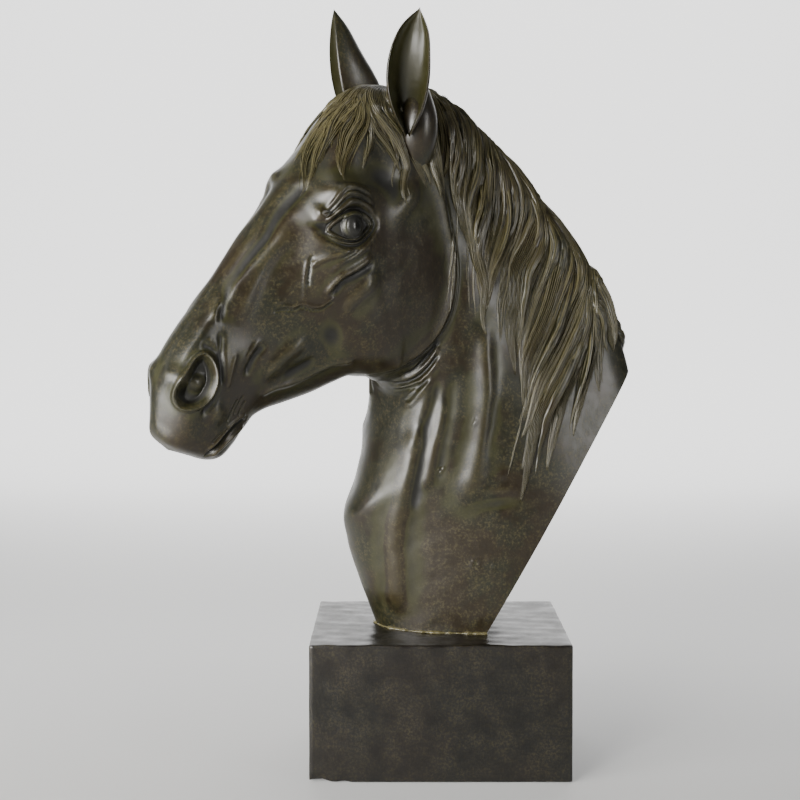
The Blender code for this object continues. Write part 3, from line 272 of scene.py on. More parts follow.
# Ridges (height above 0) and grooves (below 0) of the near and far side alike, in
# millimetres: height and width, then the way of the line in the profile plane
RIDGES = (
    # arch from the eye to the ear, ridges slanting down from the eye and the hollow under them
    (2.2, 7.0, (-88, 428), (-72, 440), (-55, 462)),
    (1.6, 2.4, (-119, 408.5), (-128, 405.5), (-140, 401), (-150, 393)),
    (0.8, 1.8, (-102, 413), (-111, 408.5), (-119.5, 403.5), (-128.5, 398.5), (-136, 391)),
    (-0.8, 1.6, (-113, 411.5), (-120, 407), (-129, 402.5)),
    (2.0, 2.5, (-102, 405), (-108.5, 399.8), (-120.5, 392.4), (-127.8, 388), (-137.1, 373.7)),
    (-2.0, 3.0, (-99, 400), (-107, 395), (-119, 388), (-126, 383), (-133, 372)),
    (3.2, 6.0, (-93, 395), (-105, 382), (-113, 374), (-119, 366), (-125, 359)),
    # veins on the face
    (-1.2, 0.9, (-147.8, 403), (-148.2, 395), (-149, 387), (-148.3, 379)),
    (0.6, 1.2, (-150, 400), (-150.8, 387), (-150.5, 378), (-150, 369)),
    (0.5, 1.0, (-145.5, 400), (-146.2, 393)),
    (-1.1, 0.9, (-170, 361), (-162.5, 362.5), (-156.3, 362.5), (-151, 364.8), (-143.5, 363),
     (-137.5, 363.5), (-133.5, 366.5), (-129, 370.5)),
    (0.7, 1.2, (-170, 363.5), (-162.5, 365.2), (-156.3, 365), (-151, 367.5), (-143.5, 365.7),
     (-137.5, 366.2), (-134, 369), (-129, 373.5)),
    (0.5, 1.0, (-170.5, 365.5), (-166.5, 367.5), (-163, 369)),
    # edge of the nasal bone, the groove below it and the flank of the face
    (1.2, 3.2, (-148, 462), (-159, 447), (-169, 431), (-180, 414), (-196, 391), (-210, 362), (-215, 350)),
    (-2.6, 3.4, (-143, 456), (-153, 444), (-165, 429), (-174.5, 413.5), (-184.5, 401), (-192.5, 391),
     (-201, 379), (-206, 364), (-207.5, 350)),
    (2.2, 6.5, (-156, 428), (-162, 417), (-170, 405), (-179, 391), (-186, 376), (-193, 360), (-196, 348)),
    (0.6, 2.6, (-203.5, 373), (-204.5, 362), (-205, 352)),
    (-1.6, 2.4, (-207.8, 348), (-207.8, 340), (-208.5, 330), (-207.5, 318), (-207, 308)),
    (0.8, 2.0, (-214, 344), (-216.5, 338.5), (-219, 333)),
    # muscles between the jaw and the lips, and the lower edge of the jaw bone
    (1.0, 2.2, (-178, 341), (-181.5, 337), (-186, 330), (-189, 324)),
    (1.0, 2.0, (-195.5, 332), (-198.5, 325), (-200.5, 315), (-202.5, 305)),
    (-2.2, 3.0, (-172, 338), (-180, 331), (-185, 322), (-189, 312)),
    (3.4, 6.0, (-176, 309), (-166, 320), (-153, 333), (-138, 343)),
    (-2.2, 4.4, (-160, 311), (-142, 319), (-128, 329)),
    (1.8, 2.4, (-172, 298), (-160, 304), (-144, 308), (-116, 322), (-100, 324)),
    # folds behind the corner of the mouth
    (-0.9, 0.9, (-186, 300), (-189.5, 293), (-193, 285)),
    (-0.9, 0.9, (-190.5, 298), (-194, 290), (-198.5, 280)),
    (-0.7, 0.8, (-183, 296), (-186, 290), (-188, 284)),
    # mouth, with the edge of the upper lip over it and the lower lip under it
    (-2.8, 1.5, (-212.5, 254.5), (-207, 260.5), (-201.8, 266.8), (-197.6, 271.5), (-190, 277),
     (-177, 282.5)),
    (1.5, 1.3, (-213, 261), (-205, 267), (-198.5, 274), (-191.5, 280), (-180, 285.5)),
    (-0.9, 0.9, (-209, 266), (-203, 272), (-196, 277.5)),
    (1.7, 1.5, (-207.5, 254.5), (-202, 260.5), (-194.5, 267), (-187, 272), (-179, 276.5)),
    # muscles down the neck
    (1.5, 4.6, (-25.5, 315), (-29.5, 305), (-30.5, 292), (-33, 273.5), (-35.6, 262), (-37.1, 247)),
    (3.2, 7.4, (-33, 273.5), (-37.1, 250), (-39.7, 222), (-39.5, 210), (-40.5, 195), (-38.7, 171),
     (-35, 150), (-32.5, 115)),
    (-1.5, 4.6, (-22.5, 312), (-25, 291), (-28.3, 274.5), (-30, 257.5), (-31, 244), (-31.5, 228),
     (-30.5, 200)),
    (1.3, 4.2, (-17.5, 295), (-20.5, 266.5), (-23, 254), (-23.2, 238), (-25, 218)),
    (-1.0, 5.5, (-11, 315), (-14, 282), (-15, 266.5), (-15.5, 248), (-15.5, 220)),
    (3.6, 11.0, (19, 360), (19, 330), (20, 300), (19.5, 275), (17.5, 250), (14, 225), (11, 200)),
    (-1.0, 7.0, (30, 300), (29, 275), (26, 255), (23, 238)),
)

# Folds of the throat in millimetres, each a groove with a soft ridge below it
THROAT_FOLDS = (
    ((-47.5, 308.5), (-41, 313), (-36, 319.5), (-30, 328), (-24, 340)),
    ((-47.5, 299), (-44, 301), (-40.2, 304), (-35.5, 309), (-29.5, 318), (-23.5, 329)),
    ((-47.2, 288), (-44, 290.5), (-41, 294), (-37.8, 299), (-33.5, 307)),
    ((-40, 287), (-37, 294), (-33.5, 302), (-29, 311)),
)
FOLD_DROP = (0.0, -0.0047)

# Rear edge of the cheek, from under the ear round to the underside of the jaw
CHEEK_EDGE = thousandths((
    (-46, 478), (-31, 452), (-23, 424), (-14.5, 398), (-15.5, 371), (-25, 347), (-40, 331), (-60, 318.5),
    (-82, 312.5), (-105, 312),
))

# Swellings and hollows in millimetres: height, half length, half height, tilt (radians), middle
SWELLINGS = (
    (2.6, 2.6, 5.0, 0.1, (-143, 433)),
    (-2.2, 3.0, 4.0, 0.5, (-137.2, 434.5)),
    (-1.2, 5.0, 2.6, 0.2, (-144, 424.5)),
    (-3.5, 16.0, 12.0, 0.0, (-85, 460)),
    (1.5, 9.0, 8.0, 0.0, (-66, 450)),
    (-2.6, 9.0, 13.0, 0.5, (-124, 343)),
    (-1.2, 6.0, 5.0, 0.0, (-171, 283)),
    (1.5, 10.0, 12.0, 0.0, (-236, 276)),
    (2.0, 6.0, 8.0, 0.3, (-208, 287)),
    (-1.4, 10.0, 6.0, 0.8, (-219, 290)),
    (5.0, 17.0, 8.0, 0.1, (-124, 449)),
    (4.0, 9.0, 7.5, 0.0, (-236, 313.5)),
    (0.5, 4.0, 3.0, 0.0, (24, 230)),
    (0.4, 3.0, 3.0, 0.0, (33, 227)),
    (0.5, 5.0, 3.0, 0.2, (43, 231)),
    (0.8, 16.0, 4.0, 0.0, (42, 219)),
    (-0.9, 16.0, 5.0, 0.05, (40, 208)),
    (-0.4, 3.0, 3.0, 0.0, (28, 161)),
    (0.4, 2.4, 2.4, 0.0, (9.5, 275.5)),
    (-0.6, 1.3, 1.3, 0.0, (9.5, 275.5)),
    (1.5, 30.0, 26.0, 0.0, (-62, 372)),
)

# The brow of the far side, seen over the nose, in the same order
FAR_BROW = (3.5, 8.0, 9.0, 0.0, (-147, 455))

# Locks of the mane on the near side. Each has its width and height in millimetres, then its
# way over the bust, in thousandths, as (share along from lips to foot, share round from the
# top line)
MANE = (
    (7, 3, (425, 20), (431, 95), (432, 120), (429, 140), (415, 155), (405, 165)),
    (7, 3, (432, 20), (439, 100), (440, 130), (437, 155), (428, 178)),
    (12, 3, (425, 975), (435, 35), (445, 120), (447, 150), (450, 175), (458, 190)),
    (15, 3.5, (435, 975), (450, 55), (459, 90), (465, 125), (465, 155), (463, 173), (472, 190),
     (490, 200), (505, 213)),
    (15, 4, (452, 975), (474, 30), (480, 90), (483, 125), (480, 158), (482, 180), (495, 197), (522, 212)),
    (16, 5, (468, 975), (490, 30), (495, 77), (503, 105), (505, 158), (503, 183), (510, 201), (540, 210),
     (552, 228), (568, 236), (580, 234)),
    (15, 5, (482, 975), (503, 45), (515, 83), (524, 108), (530, 128), (530, 152), (528, 176), (535, 198),
     (545, 213)),
    (16, 5, (492, 975), (515, 45), (530, 75), (542, 100), (548, 120), (550, 152), (550, 180), (552, 200),
     (562, 226)),
    (20, 5, (495, 975), (518, 20), (540, 30), (557, 40), (570, 65), (573, 90), (577, 120), (580, 152),
     (600, 172), (610, 187), (625, 193), (662, 200)),
    (18, 5, (550, 975), (573, 55), (583, 80), (590, 105), (594, 135), (607, 155), (628, 176), (640, 188)),
    (18, 6, (555, 975), (575, 35), (590, 45), (607, 58), (617, 78), (625, 100), (643, 142), (656, 172),
     (667, 185), (683, 193), (700, 200)),
    (20, 6, (550, 975), (570, 12), (592, 12), (613, 18), (630, 32), (640, 50), (648, 73), (656, 100),
     (670, 130), (692, 170), (718, 197), (727, 210)),
    (15, 6, (620, 975), (642, 50), (655, 65), (666, 83), (682, 115), (703, 157), (722, 185), (750, 204),
     (792, 226)),
    (13, 5, (668, 88), (687, 120), (697, 138), (707, 155), (720, 170), (735, 178), (750, 187)),
    (13, 5, (655, 70), (678, 100), (688, 113), (700, 130), (725, 155), (752, 170)),
    (13, 5, (630, 975), (652, 60), (668, 70), (682, 80), (692, 90), (718, 118), (747, 143), (760, 150)),
    (12, 4, (640, 975), (660, 55), (678, 50), (692, 52), (714, 52)),
    (14, 7, (632, 975), (652, 15), (670, 20), (686, 28), (699, 35), (710, 45)),
)

# Thick rolls of hair that make the scalloped line of the crest
CREST_ROLLS = (
    (14, 4, (450, 985), (470, 995), (485, 0), (497, 30), (505, 60)),
    (17, 3, (500, 985), (525, 995), (548, 0), (562, 20), (570, 50)),
    (19, 2.5, (562, 985), (588, 995), (612, 0), (630, 20), (640, 50)),
    (17, 4.5, (630, 985), (652, 995), (675, 0), (694, 15), (706, 30)),
)

# Locks of the forelock, from the poll over the forehead
FORELOCK = (
    (12, 3, (385, 990), (355, 0), (347, 996), (338, 993), (328, 990), (317, 992), (305, 995)),
    (9, 4, (380, 995), (352, 8), (340, 8), (332, 5), (320, 8), (310, 18), (302, 30), (295, 45),
     (287, 55)),
    (9, 4, (380, 0), (357, 20), (340, 20), (332, 22), (322, 27), (313, 35), (304, 47), (296, 55),
     (289, 60)),
    (10, 4, (382, 3), (360, 30), (354, 36), (346, 35), (327, 37), (318, 42), (310, 50)),
    (9, 4, (383, 6), (362, 30), (357, 45), (352, 55), (346, 60), (338, 62), (329, 70), (322, 77),
     (319, 86), (317, 96)),
    (6, 3, (384, 8), (366, 45), (360, 66), (352, 78), (341, 83), (332, 85), (326, 88), (320, 95),
     (315, 103)),
    (9, 4, (386, 8), (369, 35), (363, 55), (360, 70), (360, 83), (358, 96), (355, 107), (350, 115),
     (340, 125)),
    (9, 4, (388, 10), (370, 50), (361, 70), (361, 87), (364, 105), (370, 125), (375, 142), (381, 165)),
    (11, 5, (390, 12), (371, 40), (367, 68), (372, 100), (382, 130), (387, 157), (384, 168), (377, 188),
     (379, 202)),
    (11, 4, (392, 15), (379, 35), (375, 60), (375, 82), (386, 118), (398, 150), (401, 162), (408, 183)),
    (10, 4, (396, 18), (382, 55), (390, 93), (400, 130), (410, 165), (413, 180)),
    (10, 4, (402, 50), (407, 85), (413, 115), (417, 140), (419, 165), (426, 192)),
    (9, 4, (416, 80), (420, 105), (423, 135), (428, 160), (436, 190)),
    (14, 4, (395, 985), (365, 960), (350, 935), (330, 925), (318, 910)),
    (13, 4, (395, 980), (375, 945), (378, 890), (388, 845), (382, 810)),
    (9, 4, (400, 975), (385, 940), (398, 880), (412, 835), (432, 805)),
)

# Ears in millimetres: way of the middle of the opening from its foot to the tip, where it
# faces as (x, y), the half widths of the opening and the depths of the cup behind it
NEAR_EAR = (
    ((-69.5, -38.5, 493), (-75, -43, 512), (-79, -46, 531),
     (-80, -47.5, 550), (-77.7, -48, 569), (-74.2, -47.5, 584.8)),
    (-0.62, -0.785),
    (3, 12.5, 16.3, 15.7, 11.2, 1),
    (20, 23, 21, 16, 10, 0.8),
)
FAR_EAR = (
    ((-56, 19, 476), (-66.5, 31, 499), (-74.5, 39, 517),
     (-79, 43, 534), (-82, 45, 552), (-84, 45.5, 570),
     (-85, 45.5, 586)),
    (-0.93, 0.37),
    (3, 8, 12.2, 14.7, 13.8, 9, 0.8),
    (15, 27, 32, 29, 21.5, 12.5, 0.8),
)
EAR_LIP = 0.0060
EAR_WALL = 0.0026

# Roots of the ears, down into the neck, and their radii, in millimetres
NEAR_EAR_ROOT = (
    ((-52, -25, 527), (-53.5, -28.5, 506), (-52, -26, 485),
     (-46, -17, 456)),
    (8.5, 15, 15, 7),
)
FAR_EAR_ROOT = (
    ((-58, 26, 524), (-55.5, 19, 502), (-53, 17, 480),
     (-48, 19, 450)),
    (10, 20, 20.5, 13),
)


def ease(share):
    """0 to 1 with level ends."""
    share = np.clip(share, 0, 1)
    return share * share * (3 - 2 * share)


def bell(distance, at, width):
    """1 at a distance, falling off to both sides within about twice the width."""
    return np.exp(-(((distance - at) / width) ** 2))


def bells(distance, rings):
    """Sum of bells, each with its height, distance and width."""
    return sum(tall * bell(distance, at, width) for tall, at, width in rings)


def unit(ways):
    """Directions of length 1 from ways of any length."""
    return ways / np.maximum(np.linalg.norm(ways, axis=-1, keepdims=True), 1e-12)


def running(path):
    """Length of the way from a polyline's start to each of its points."""
    return np.concatenate([[0], np.cumsum(np.linalg.norm(np.diff(path, axis=0), axis=1))])


def tilted(x, z, middle, tilt=0.0):
    """Places as seen from a middle, along axes turned by a tilt."""
    dx, dz = x - middle[0], z - middle[1]
    return dx * math.cos(tilt) + dz * math.sin(tilt), dz * math.cos(tilt) - dx * math.sin(tilt)


def cubic_shares(u):
    """Shares in a cubic span of the far value, the near slope and the far slope."""
    return u * u * (3 - 2 * u), u * (1 - u) ** 2, u * u * (u - 1)


def hermite(knots, values, at):
    """Cubic curve through the values at the knots, read at the given places."""
    slopes = np.gradient(values, knots, axis=0)
    i = np.clip(np.searchsorted(knots, at, side="right") - 1, 0, len(knots) - 2)
    span = (knots[i + 1] - knots[i])[..., None]
    rising, leaving, arriving = cubic_shares((at - knots[i])[..., None] / span)
    bent = (leaving * slopes[i] + arriving * slopes[i + 1]) * span
    return values[i] * (1 - rising) + values[i + 1] * rising + bent


def curve_through(points, per_span=8, closed=False):
    """Smooth polyline through a few points."""
    p = np.asarray(points, float)
    if closed:
        p = np.concatenate([p[-1:], p, p[:2]])
    else:
        p = np.concatenate([2 * p[:1] - p[1:2], p, 2 * p[-1:] - p[-2:-1]])
    u = np.linspace(0, 1, per_span, endpoint=False)[None, :, None]
    a, b, c, d = (q[:, None, :] for q in (p[:-3], p[1:-2], p[2:-1], p[3:]))
    line = 0.5 * (2 * b + (c - a) * u + (2 * a - 5 * b + 4 * c - d) * u**2 + (3 * b - 3 * c + d - a) * u**3)
    line = line.reshape(-1, p.shape[1])
    return np.concatenate([line, line[:1] if closed else p[-2:-1]])


def along_path(x, z, path):
    """Distance to a polyline, which side of it (+1 on its left), and the share of the way."""
    ways = np.diff(path, axis=0)
    starts = running(path)
    nearest = np.full(x.shape, np.inf)
    side = np.zeros(x.shape)
    share = np.zeros(x.shape)
    for start, way, length, before in zip(path, ways, np.diff(starts), starts):
        dx, dz = x - start[0], z - start[1]
        t = np.clip((dx * way[0] + dz * way[1]) / length**2, 0, 1)
        distance = np.hypot(dx - t * way[0], dz - t * way[1])
        closer = distance < nearest
        nearest = np.where(closer, distance, nearest)
        side = np.where(closer, np.sign(way[0] * dz - way[1] * dx), side)
        share = np.where(closer, (before + t * length) / starts[-1], share)
    return nearest, side, share


def within(x, z, path, reach):
    """Which places lie in a path's box widened by a reach."""
    low = path.min(axis=0) - reach
    high = path.max(axis=0) + reach
    return (x > low[0]) & (x < high[0]) & (z > low[1]) & (z < high[1])


def section_rows():
    """Upper points, lower points and half widths of all sections, lips to foot."""
    face = np.stack([DOWN_FACE, TO_JAW])
    lines = [np.concatenate([POLL + thousandths([row[side] for row in HEAD_ROWS]) @ face,
                             thousandths([row[side] for row in NECK_ROWS])]) for side in (0, 1)]
    return *lines, thousandths([row[2] for row in HEAD_ROWS + NECK_ROWS])


def plain_form(along, around):
    """The bust's plain form before carving; around runs from the top line by the near side."""
    upper, lower, widths = section_rows()
    knots = running(upper) + running(lower) + running((upper + lower) / 2)
    knots /= knots[-1]
    top = hermite(knots, upper, along)
    bottom = hermite(knots, lower, along)
    width = hermite(knots, widths, along)
    edge = np.zeros(width.shape[:-1] + (1,))
    width = np.concatenate([-width[..., :1], edge, width, edge, -width[..., -1:]], axis=-1)
    depth = np.array((DEPTHS[1],) + DEPTHS + (DEPTHS[-2],))
    depth_slope = np.gradient(depth)
    depth_slope[[1, -2]] = 0
    width_slope = np.gradient(width, axis=-1)
    around = around % 1.0
    spans = len(DEPTHS) - 1
    way = np.where(around > 0.5, 1 - around, around) * 2 * spans
    i = np.clip(way.astype(int), 0, spans - 1)
    rising, leaving, arriving = cubic_shares(way - i)

    def read(table, k):
        return np.take_along_axis(table, k[..., None], axis=-1)[..., 0]

    half = read(width, i + 1) * (1 - rising) + read(width, i + 2) * rising
    half = half + leaving * read(width_slope, i + 1) + arriving * read(width_slope, i + 2)
    down = depth[i + 1] * (1 - rising) + depth[i + 2] * rising
    down = down + leaving * depth_slope[i + 1] + arriving * depth_slope[i + 2]
    profile = top + (bottom - top) * down[..., None]
    return np.stack([profile[..., 0], np.where(around > 0.5, half, -half), profile[..., 1]], axis=-1)


def eye_heights(x, z):
    """Eyeball, lids, folds and brow."""
    u, v = tilted(x, z, EYE, EYE_TILT)
    share = np.linspace(-1, 1, 25)
    arch = np.cos(share * math.pi / 2).clip(0, 1)
    upper = np.stack([share * EYE_HALF, 8.8 * MM * arch**0.7], axis=1)
    lower = np.stack([share * EYE_HALF, -7.8 * MM * arch**0.8], axis=1)[::-1]
    opening = np.concatenate([upper, lower[1:]])
    distance, side, _ = along_path(u, v, opening)
    out = np.where(side < 0, -distance, distance) / MM
    far = np.hypot(u - BALL_MIDDLE[0], v - BALL_MIDDLE[1])
    ball = np.sqrt(np.maximum(EYEBALL**2 - far**2, 0)) - EYEBALL + 2.8 * MM
    ball = ball - 0.35 * MM * bell(far, 7.6 * MM, 0.6 * MM)
    ball = np.maximum(ball, -3.2 * MM) * (1 - ease((out - 1) / 9))
    lid = ease(out / 0.7 + 0.5)
    fold = out * (1 + 0.8 * ease(-u / EYE_HALF))
    upper_lid = 2.0 * lid * (1 - ease((out - 4) / 6)) + 0.5 * bell(out, 1.8, 1.3)
    upper_lid = upper_lid + bells(fold, UPPER_FOLDS)
    lower_lid = 1.4 * lid * (1 - ease((out - 3) / 5)) + bells(out, LOWER_FOLDS)
    above = ease((v + 2 * MM) / (4 * MM))
    corner = np.where(out > 2, 1 - ease((np.abs(u - 2 * MM) / (23 * MM) - 0.65) / 0.35), 1)
    lids = (upper_lid * above + lower_lid * (1 - above)) * corner * MM
    return ball + np.where(out > -0.35, lids, 0)


def nostril_heights(x, z):
    """A rim round a hollow whose floor rises again to a soft dish, shallower at the top."""
    rim = curve_through(NOSTRIL_RIM, 5, closed=True)
    distance, side, _ = along_path(x, z, rim)
    inside = side < 0
    out = np.where(inside, -distance, distance) / MM
    shallow = 1 - 0.45 * ease((z - 0.316) / 0.014)
    hollow = -8.0 * ease((-out - 0.2) / 5.0) * shallow
    hollow = hollow + 3.2 * bell(np.hypot(x + 0.2265, z - 0.3110), 0, 7 * MM)
    behind = -1.6 * bell(out, 6, 2.8) * ease((x + 0.224) / (6 * MM))
    return (2.6 * bell(out, 0.4, 1.3) + np.where(inside, hollow, 0) + behind) * MM


def cheek_heights(x, z):
    """The cheek stands over the neck along its rear edge, with a fold behind it."""
    distance, side, share = along_path(x, z, curve_through(CHEEK_EDGE))
    fade = ease(share / 0.12) * ease((1 - share) / 0.25)
    cheek = 2.6 * bell(distance, 0, 9 * MM) * ease(distance / (3 * MM) + 0.4)
    step = 1.04 * bell(distance, 0, 2 * MM)
    trough = -2.4 * (1 - bell(distance, 0, 3 * MM)) * bell(distance, 0, 11 * MM)
    fold = 0.9 * bell(distance, 5 * MM, 1.5 * MM)
    return fade * np.where(side < 0, cheek, step + trough + fold) * MM


def ridge_heights(x, z, height, width, points):
    """A rounded ridge along a line, fading out over its ends by about three widths."""
    path = curve_through(points)
    distance, _, share = along_path(x, z, path)
    ends = np.minimum(share, 1 - share) * running(path)[-1] / (width * MM)
    return height * MM * bell(distance, 0, width * MM) * ease(ends / 3)


def swelling(x, z, tall, half_length, half_height, tilt, middle):
    """A bell over an oval, all measures but the tilt in millimetres."""
    u, v = tilted(x, z, thousandths(middle), tilt)
    return tall * MM * np.exp(-((u / half_length) ** 2 + (v / half_height) ** 2) / MM**2)


def carving(x, z):
    """Height of the carving over the plain form, for places in the profile plane."""
    height = np.zeros(x.shape)

    def add(path, reach, heights, *measures):
        path = np.asarray(path)
        near = within(x, z, path, reach)
        height[near] += heights(x[near], z[near], *measures)

    add([EYE], 0.042, eye_heights)
    add(NOSTRIL_RIM, 0.018, nostril_heights)
    add(CHEEK_EDGE, 0.045, cheek_heights)
    for tall, width, *points in RIDGES:
        points = thousandths(points)
        add(points, 3 * width * MM, ridge_heights, tall, width, points)
    for points in THROAT_FOLDS:
        points = thousandths(points)
        for line, tall, width in ((points, -1.8, 1.5), (points + FOLD_DROP, 1.3, 1.8)):
            add(line, 0.006, ridge_heights, tall, width, line)
    return height + sum(swelling(x, z, *measures) for measures in SWELLINGS)


def form_and_normals(along, around, step=1e-4):
    """Places on the plain form with their outward directions."""
    place = plain_form(along, around)
    ahead = plain_form(np.clip(along + step, 0, 1), around) - plain_form(np.clip(along - step, 0, 1), around)
    aside = plain_form(along, around + step) - plain_form(along, around - step)
    return place, unit(np.cross(aside, ahead))


def carved_height(place, outward):
    """Height of the carving at places on the form: it fades out over the top and underside."""
    x, y, z = np.moveaxis(place, -1, 0)
    height = carving(x, z) + swelling(x, z, *FAR_BROW) * ease(y / 0.020)
    return height * ease((np.abs(outward[..., 1]) - 0.05) / 0.35)


def carved_form(along, around):
    """Places on the form moved outward by the height of the carving, and their directions."""
    place, outward = form_and_normals(along, around)
    return place + outward * carved_height(place, outward)[..., None], outward


def turned(points):
    """Bends the neck sideways and tilts the head, for places of the unturned bust."""
    x, y, z = points.T
    rise = z + np.maximum(0, FACE_START - x)
    raised = ease((rise - TURN_LOW) / (TURN_HIGH - TURN_LOW))
    share = raised * ease((BEND_START - x) / (BEND_START - BEND_END))
    roll = HEAD_ROLL * share
    aside = y * np.cos(roll) - (z - ROLL_HEIGHT) * np.sin(roll)
    height = ROLL_HEIGHT + y * np.sin(roll) + (z - ROLL_HEIGHT) * np.cos(roll)
    nodes, weights = np.polynomial.legendre.leggauss(12)
    half = (BEND_START - x)[:, None] / 2
    way = half * (nodes + 1)
    heading = HEAD_YAW * raised[:, None] * ease(way / (BEND_START - BEND_END)) * (way > 0)
    ahead = (np.cos(heading) * weights * half).sum(axis=1)
    sideways = (np.sin(heading) * weights * half).sum(axis=1)
    yaw = HEAD_YAW * share
    return np.stack([
        BEND_START - ahead - aside * np.sin(yaw),
        aside * np.cos(yaw) - sideways,
        height,
    ], axis=1)


def ear_frames(points, values, rows, facing):
    """Middles, side directions, front directions and the values read along an ear."""
    knots = np.linspace(0, 1, len(points))
    share = np.linspace(0, 1, rows)
    middle = hermite(knots, thousandths(points), share)
    forward = unit(np.gradient(middle, axis=0))
    front = np.array([*facing, 0.0])
    front = unit(front - forward * (forward @ front)[:, None])
    sizes = [hermite(knots, thousandths(value)[:, None], share)[:, 0] for value in values]
    return middle, np.cross(forward, front), front, sizes


def ear_root_rings(way, radii, facing, rows=30, across=40):
    """Rings of the given radii along a way."""
    middle, aside, front, (radius,) = ear_frames(way, (radii,), rows, facing)
    turn = np.arange(across) / across * 2 * math.pi
    ring = aside[:, None] * np.sin(turn)[None, :, None] + front[:, None] * np.cos(turn)[None, :, None]
    return middle[:, None] + ring * radius[:, None, None]


# ---------------------------------------------------------------- meshes

def hashed(*keys):
    """A number from 0 to 1 that looks random but is fixed by its keys: the fractional part of
    a large multiple of the sine of their weighted sum."""
    total = sum(np.asarray(key, float) * weight for key, weight in zip(keys, HASH_WEIGHTS))
    return (np.sin(total) * 43758.5453) % 1.0


def spread(start, end, count, dense):
    """Places from start to end, closer where 1 + a sum of bells is high: the running integral
    of that density is read backwards at even steps."""
    fine = np.linspace(start, end, 6000)
    density = 1 + sum(gain * bell(fine, at, width) for gain, at, width in dense)
    total = np.concatenate([[0], np.cumsum((density[1:] + density[:-1]) / 2)])
    return np.interp(np.linspace(0, total[-1], count), total, fine)


def softened(values, reach):
    """Heights smoothed by a bell over grid steps, along rows, then round the columns."""
    weights = bell(np.arange(-2 * reach, 2 * reach + 1), 0, reach)
    weights /= weights.sum()
    for axis, mode in ((0, "edge"), (1, "wrap")):
        pad = [(0, 0), (0, 0)]
        pad[axis] = (2 * reach, 2 * reach)
        padded = np.pad(values, pad, mode=mode)
        values = np.apply_along_axis(lambda line: np.convolve(line, weights, "valid"), axis, padded)
    return values


def placed(name, data):
    """A new object in the scene, at the origin."""
    obj = bpy.data.objects.new(name, data)
    bpy.context.scene.collection.objects.link(obj)
    return obj


def piece(name, grids, relief, caps=(True, True), normals=None, node="horse_bust", slot="waxed_bronze"):
    """One object from grids of points ((shapes,) rows, columns, 3): quads between neighbours,
    each row closed to a ring, and the first and last rings closed to their middles. Relief is
    one number, or one for each point."""
    grids = np.asarray(grids, float)
    grids = grids.reshape(-1, *grids.shape[-3:])
    shapes, rows, columns = grids.shape[:3]
    relief = np.broadcast_to(relief, (shapes, rows, columns))
    index = np.arange(shapes * rows * columns).reshape(shapes, rows, columns)
    right = np.roll(index, -1, axis=2)
    quads = np.stack([index[:, :-1], index[:, 1:], right[:, 1:], right[:, :-1]], axis=-1).reshape(-1, 4)
    points, shade, fans = [grids.reshape(-1, 3)], [relief.reshape(-1)], []
    for closed, row, ring in ((caps[0], 0, (0, 1, 2)), (caps[1], -1, (1, 0, 2))):
        if closed:
            middle = sum(map(len, points)) + np.arange(shapes)[:, None] + np.zeros_like(index[:, row])
            corners = np.stack([index[:, row], right[:, row], middle], axis=-1).reshape(-1, 3)
            fans.append(corners[:, ring])
            points.append(grids[:, row].mean(axis=1))
            shade.append(relief[:, row].mean(axis=1))
    points = np.concatenate(points)
    if node == "horse_bust":
        points = drawn_in(points)
    corner = points[quads] - points.mean(axis=0)
    outward = (np.cross(corner[:, 2] - corner[:, 0], corner[:, 3] - corner[:, 1]) * corner.mean(axis=1)).sum()
    flip = slice(None, None, -1 if outward < 0 else 1)
    mesh = bpy.data.meshes.new(name)
    mesh.from_pydata(points.tolist(), [], sum((part[:, flip].tolist() for part in [quads, *fans]), []))
    mesh.attributes.new("relief", "FLOAT", "POINT").data.foreach_set("value", np.concatenate(shade))
    mesh.shade_smooth()
    if normals is not None:
        flat = normals.reshape(-1, 3)
        sign = -1 if (flat * (points[:len(flat)] - points.mean(axis=0))).sum() < 0 else 1
        given = np.concatenate([sign * flat, np.zeros((len(points) - len(flat), 3))])
        mesh.normals_split_custom_set_from_vertices(given.tolist())
    obj = placed(name, mesh)
    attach(obj, "root")
    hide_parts(node)
    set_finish(obj, slot)
    return obj


def drawn_in(points):
    """Keeps points behind the walls of the part's box: a depth d behind a wall becomes
    (d + sqrt(d * d + w * w)) / 2, which is never below 0 and hardly moves a deep point."""
    low, high = (np.array(corner) for corner in cad_box)
    width = 1.2 * MM
    deep = points - low
    points = low + (deep + np.sqrt(deep ** 2 + width ** 2)) / 2
    deep = high - points
    return high - (deep + np.sqrt(deep ** 2 + width ** 2)) / 2


def turned_grid(points):
    """Any grid of places of the unturned bust, turned."""
    return turned(points.reshape(-1, 3)).reshape(points.shape)


# ---------------------------------------------------------------- skin

def nearest_on_form(point):
    """Share along and share round of the near-side place whose profile is nearest to a point."""
    along, around = np.meshgrid(np.linspace(0, 0.6, 400), np.linspace(0.01, 0.49, 200), indexing="ij")
    place = plain_form(along, around)
    far = np.hypot(place[..., 0] - point[0], place[..., 2] - point[1])
    row, column = np.unravel_index(far.argmin(), far.shape)
    return along[row, 0], around[0, column]


def beyond_cuts(points):
    """How far turned points lie past the flat cut behind the neck or below the foot."""
    behind = (points - BACK_CUT_PLACE) @ BACK_CUT_OUT
    return np.maximum(behind, FOOT - points[..., 2]), behind


def column_ends(around):
    """Share along at which each line down the neck meets a cut: the first sign change on a
    coarse grid, then a few secant steps."""
    along = np.linspace(0.60, 1.0, 160)
    grid = np.meshgrid(along, around, indexing="ij")
    past, _ = beyond_cuts(turned_grid(carved_form(*grid)[0]))
    first = np.argmax(past > 0, axis=0)
    low, high = along[first - 1], along[first]
    for _ in range(12):
        middle = (low + high) / 2
        past, _ = beyond_cuts(turned_grid(carved_form(middle, around)[0]))
        low = np.where(past > 0, low, middle)
        high = np.where(past > 0, middle, high)
    return (low + high) / 2


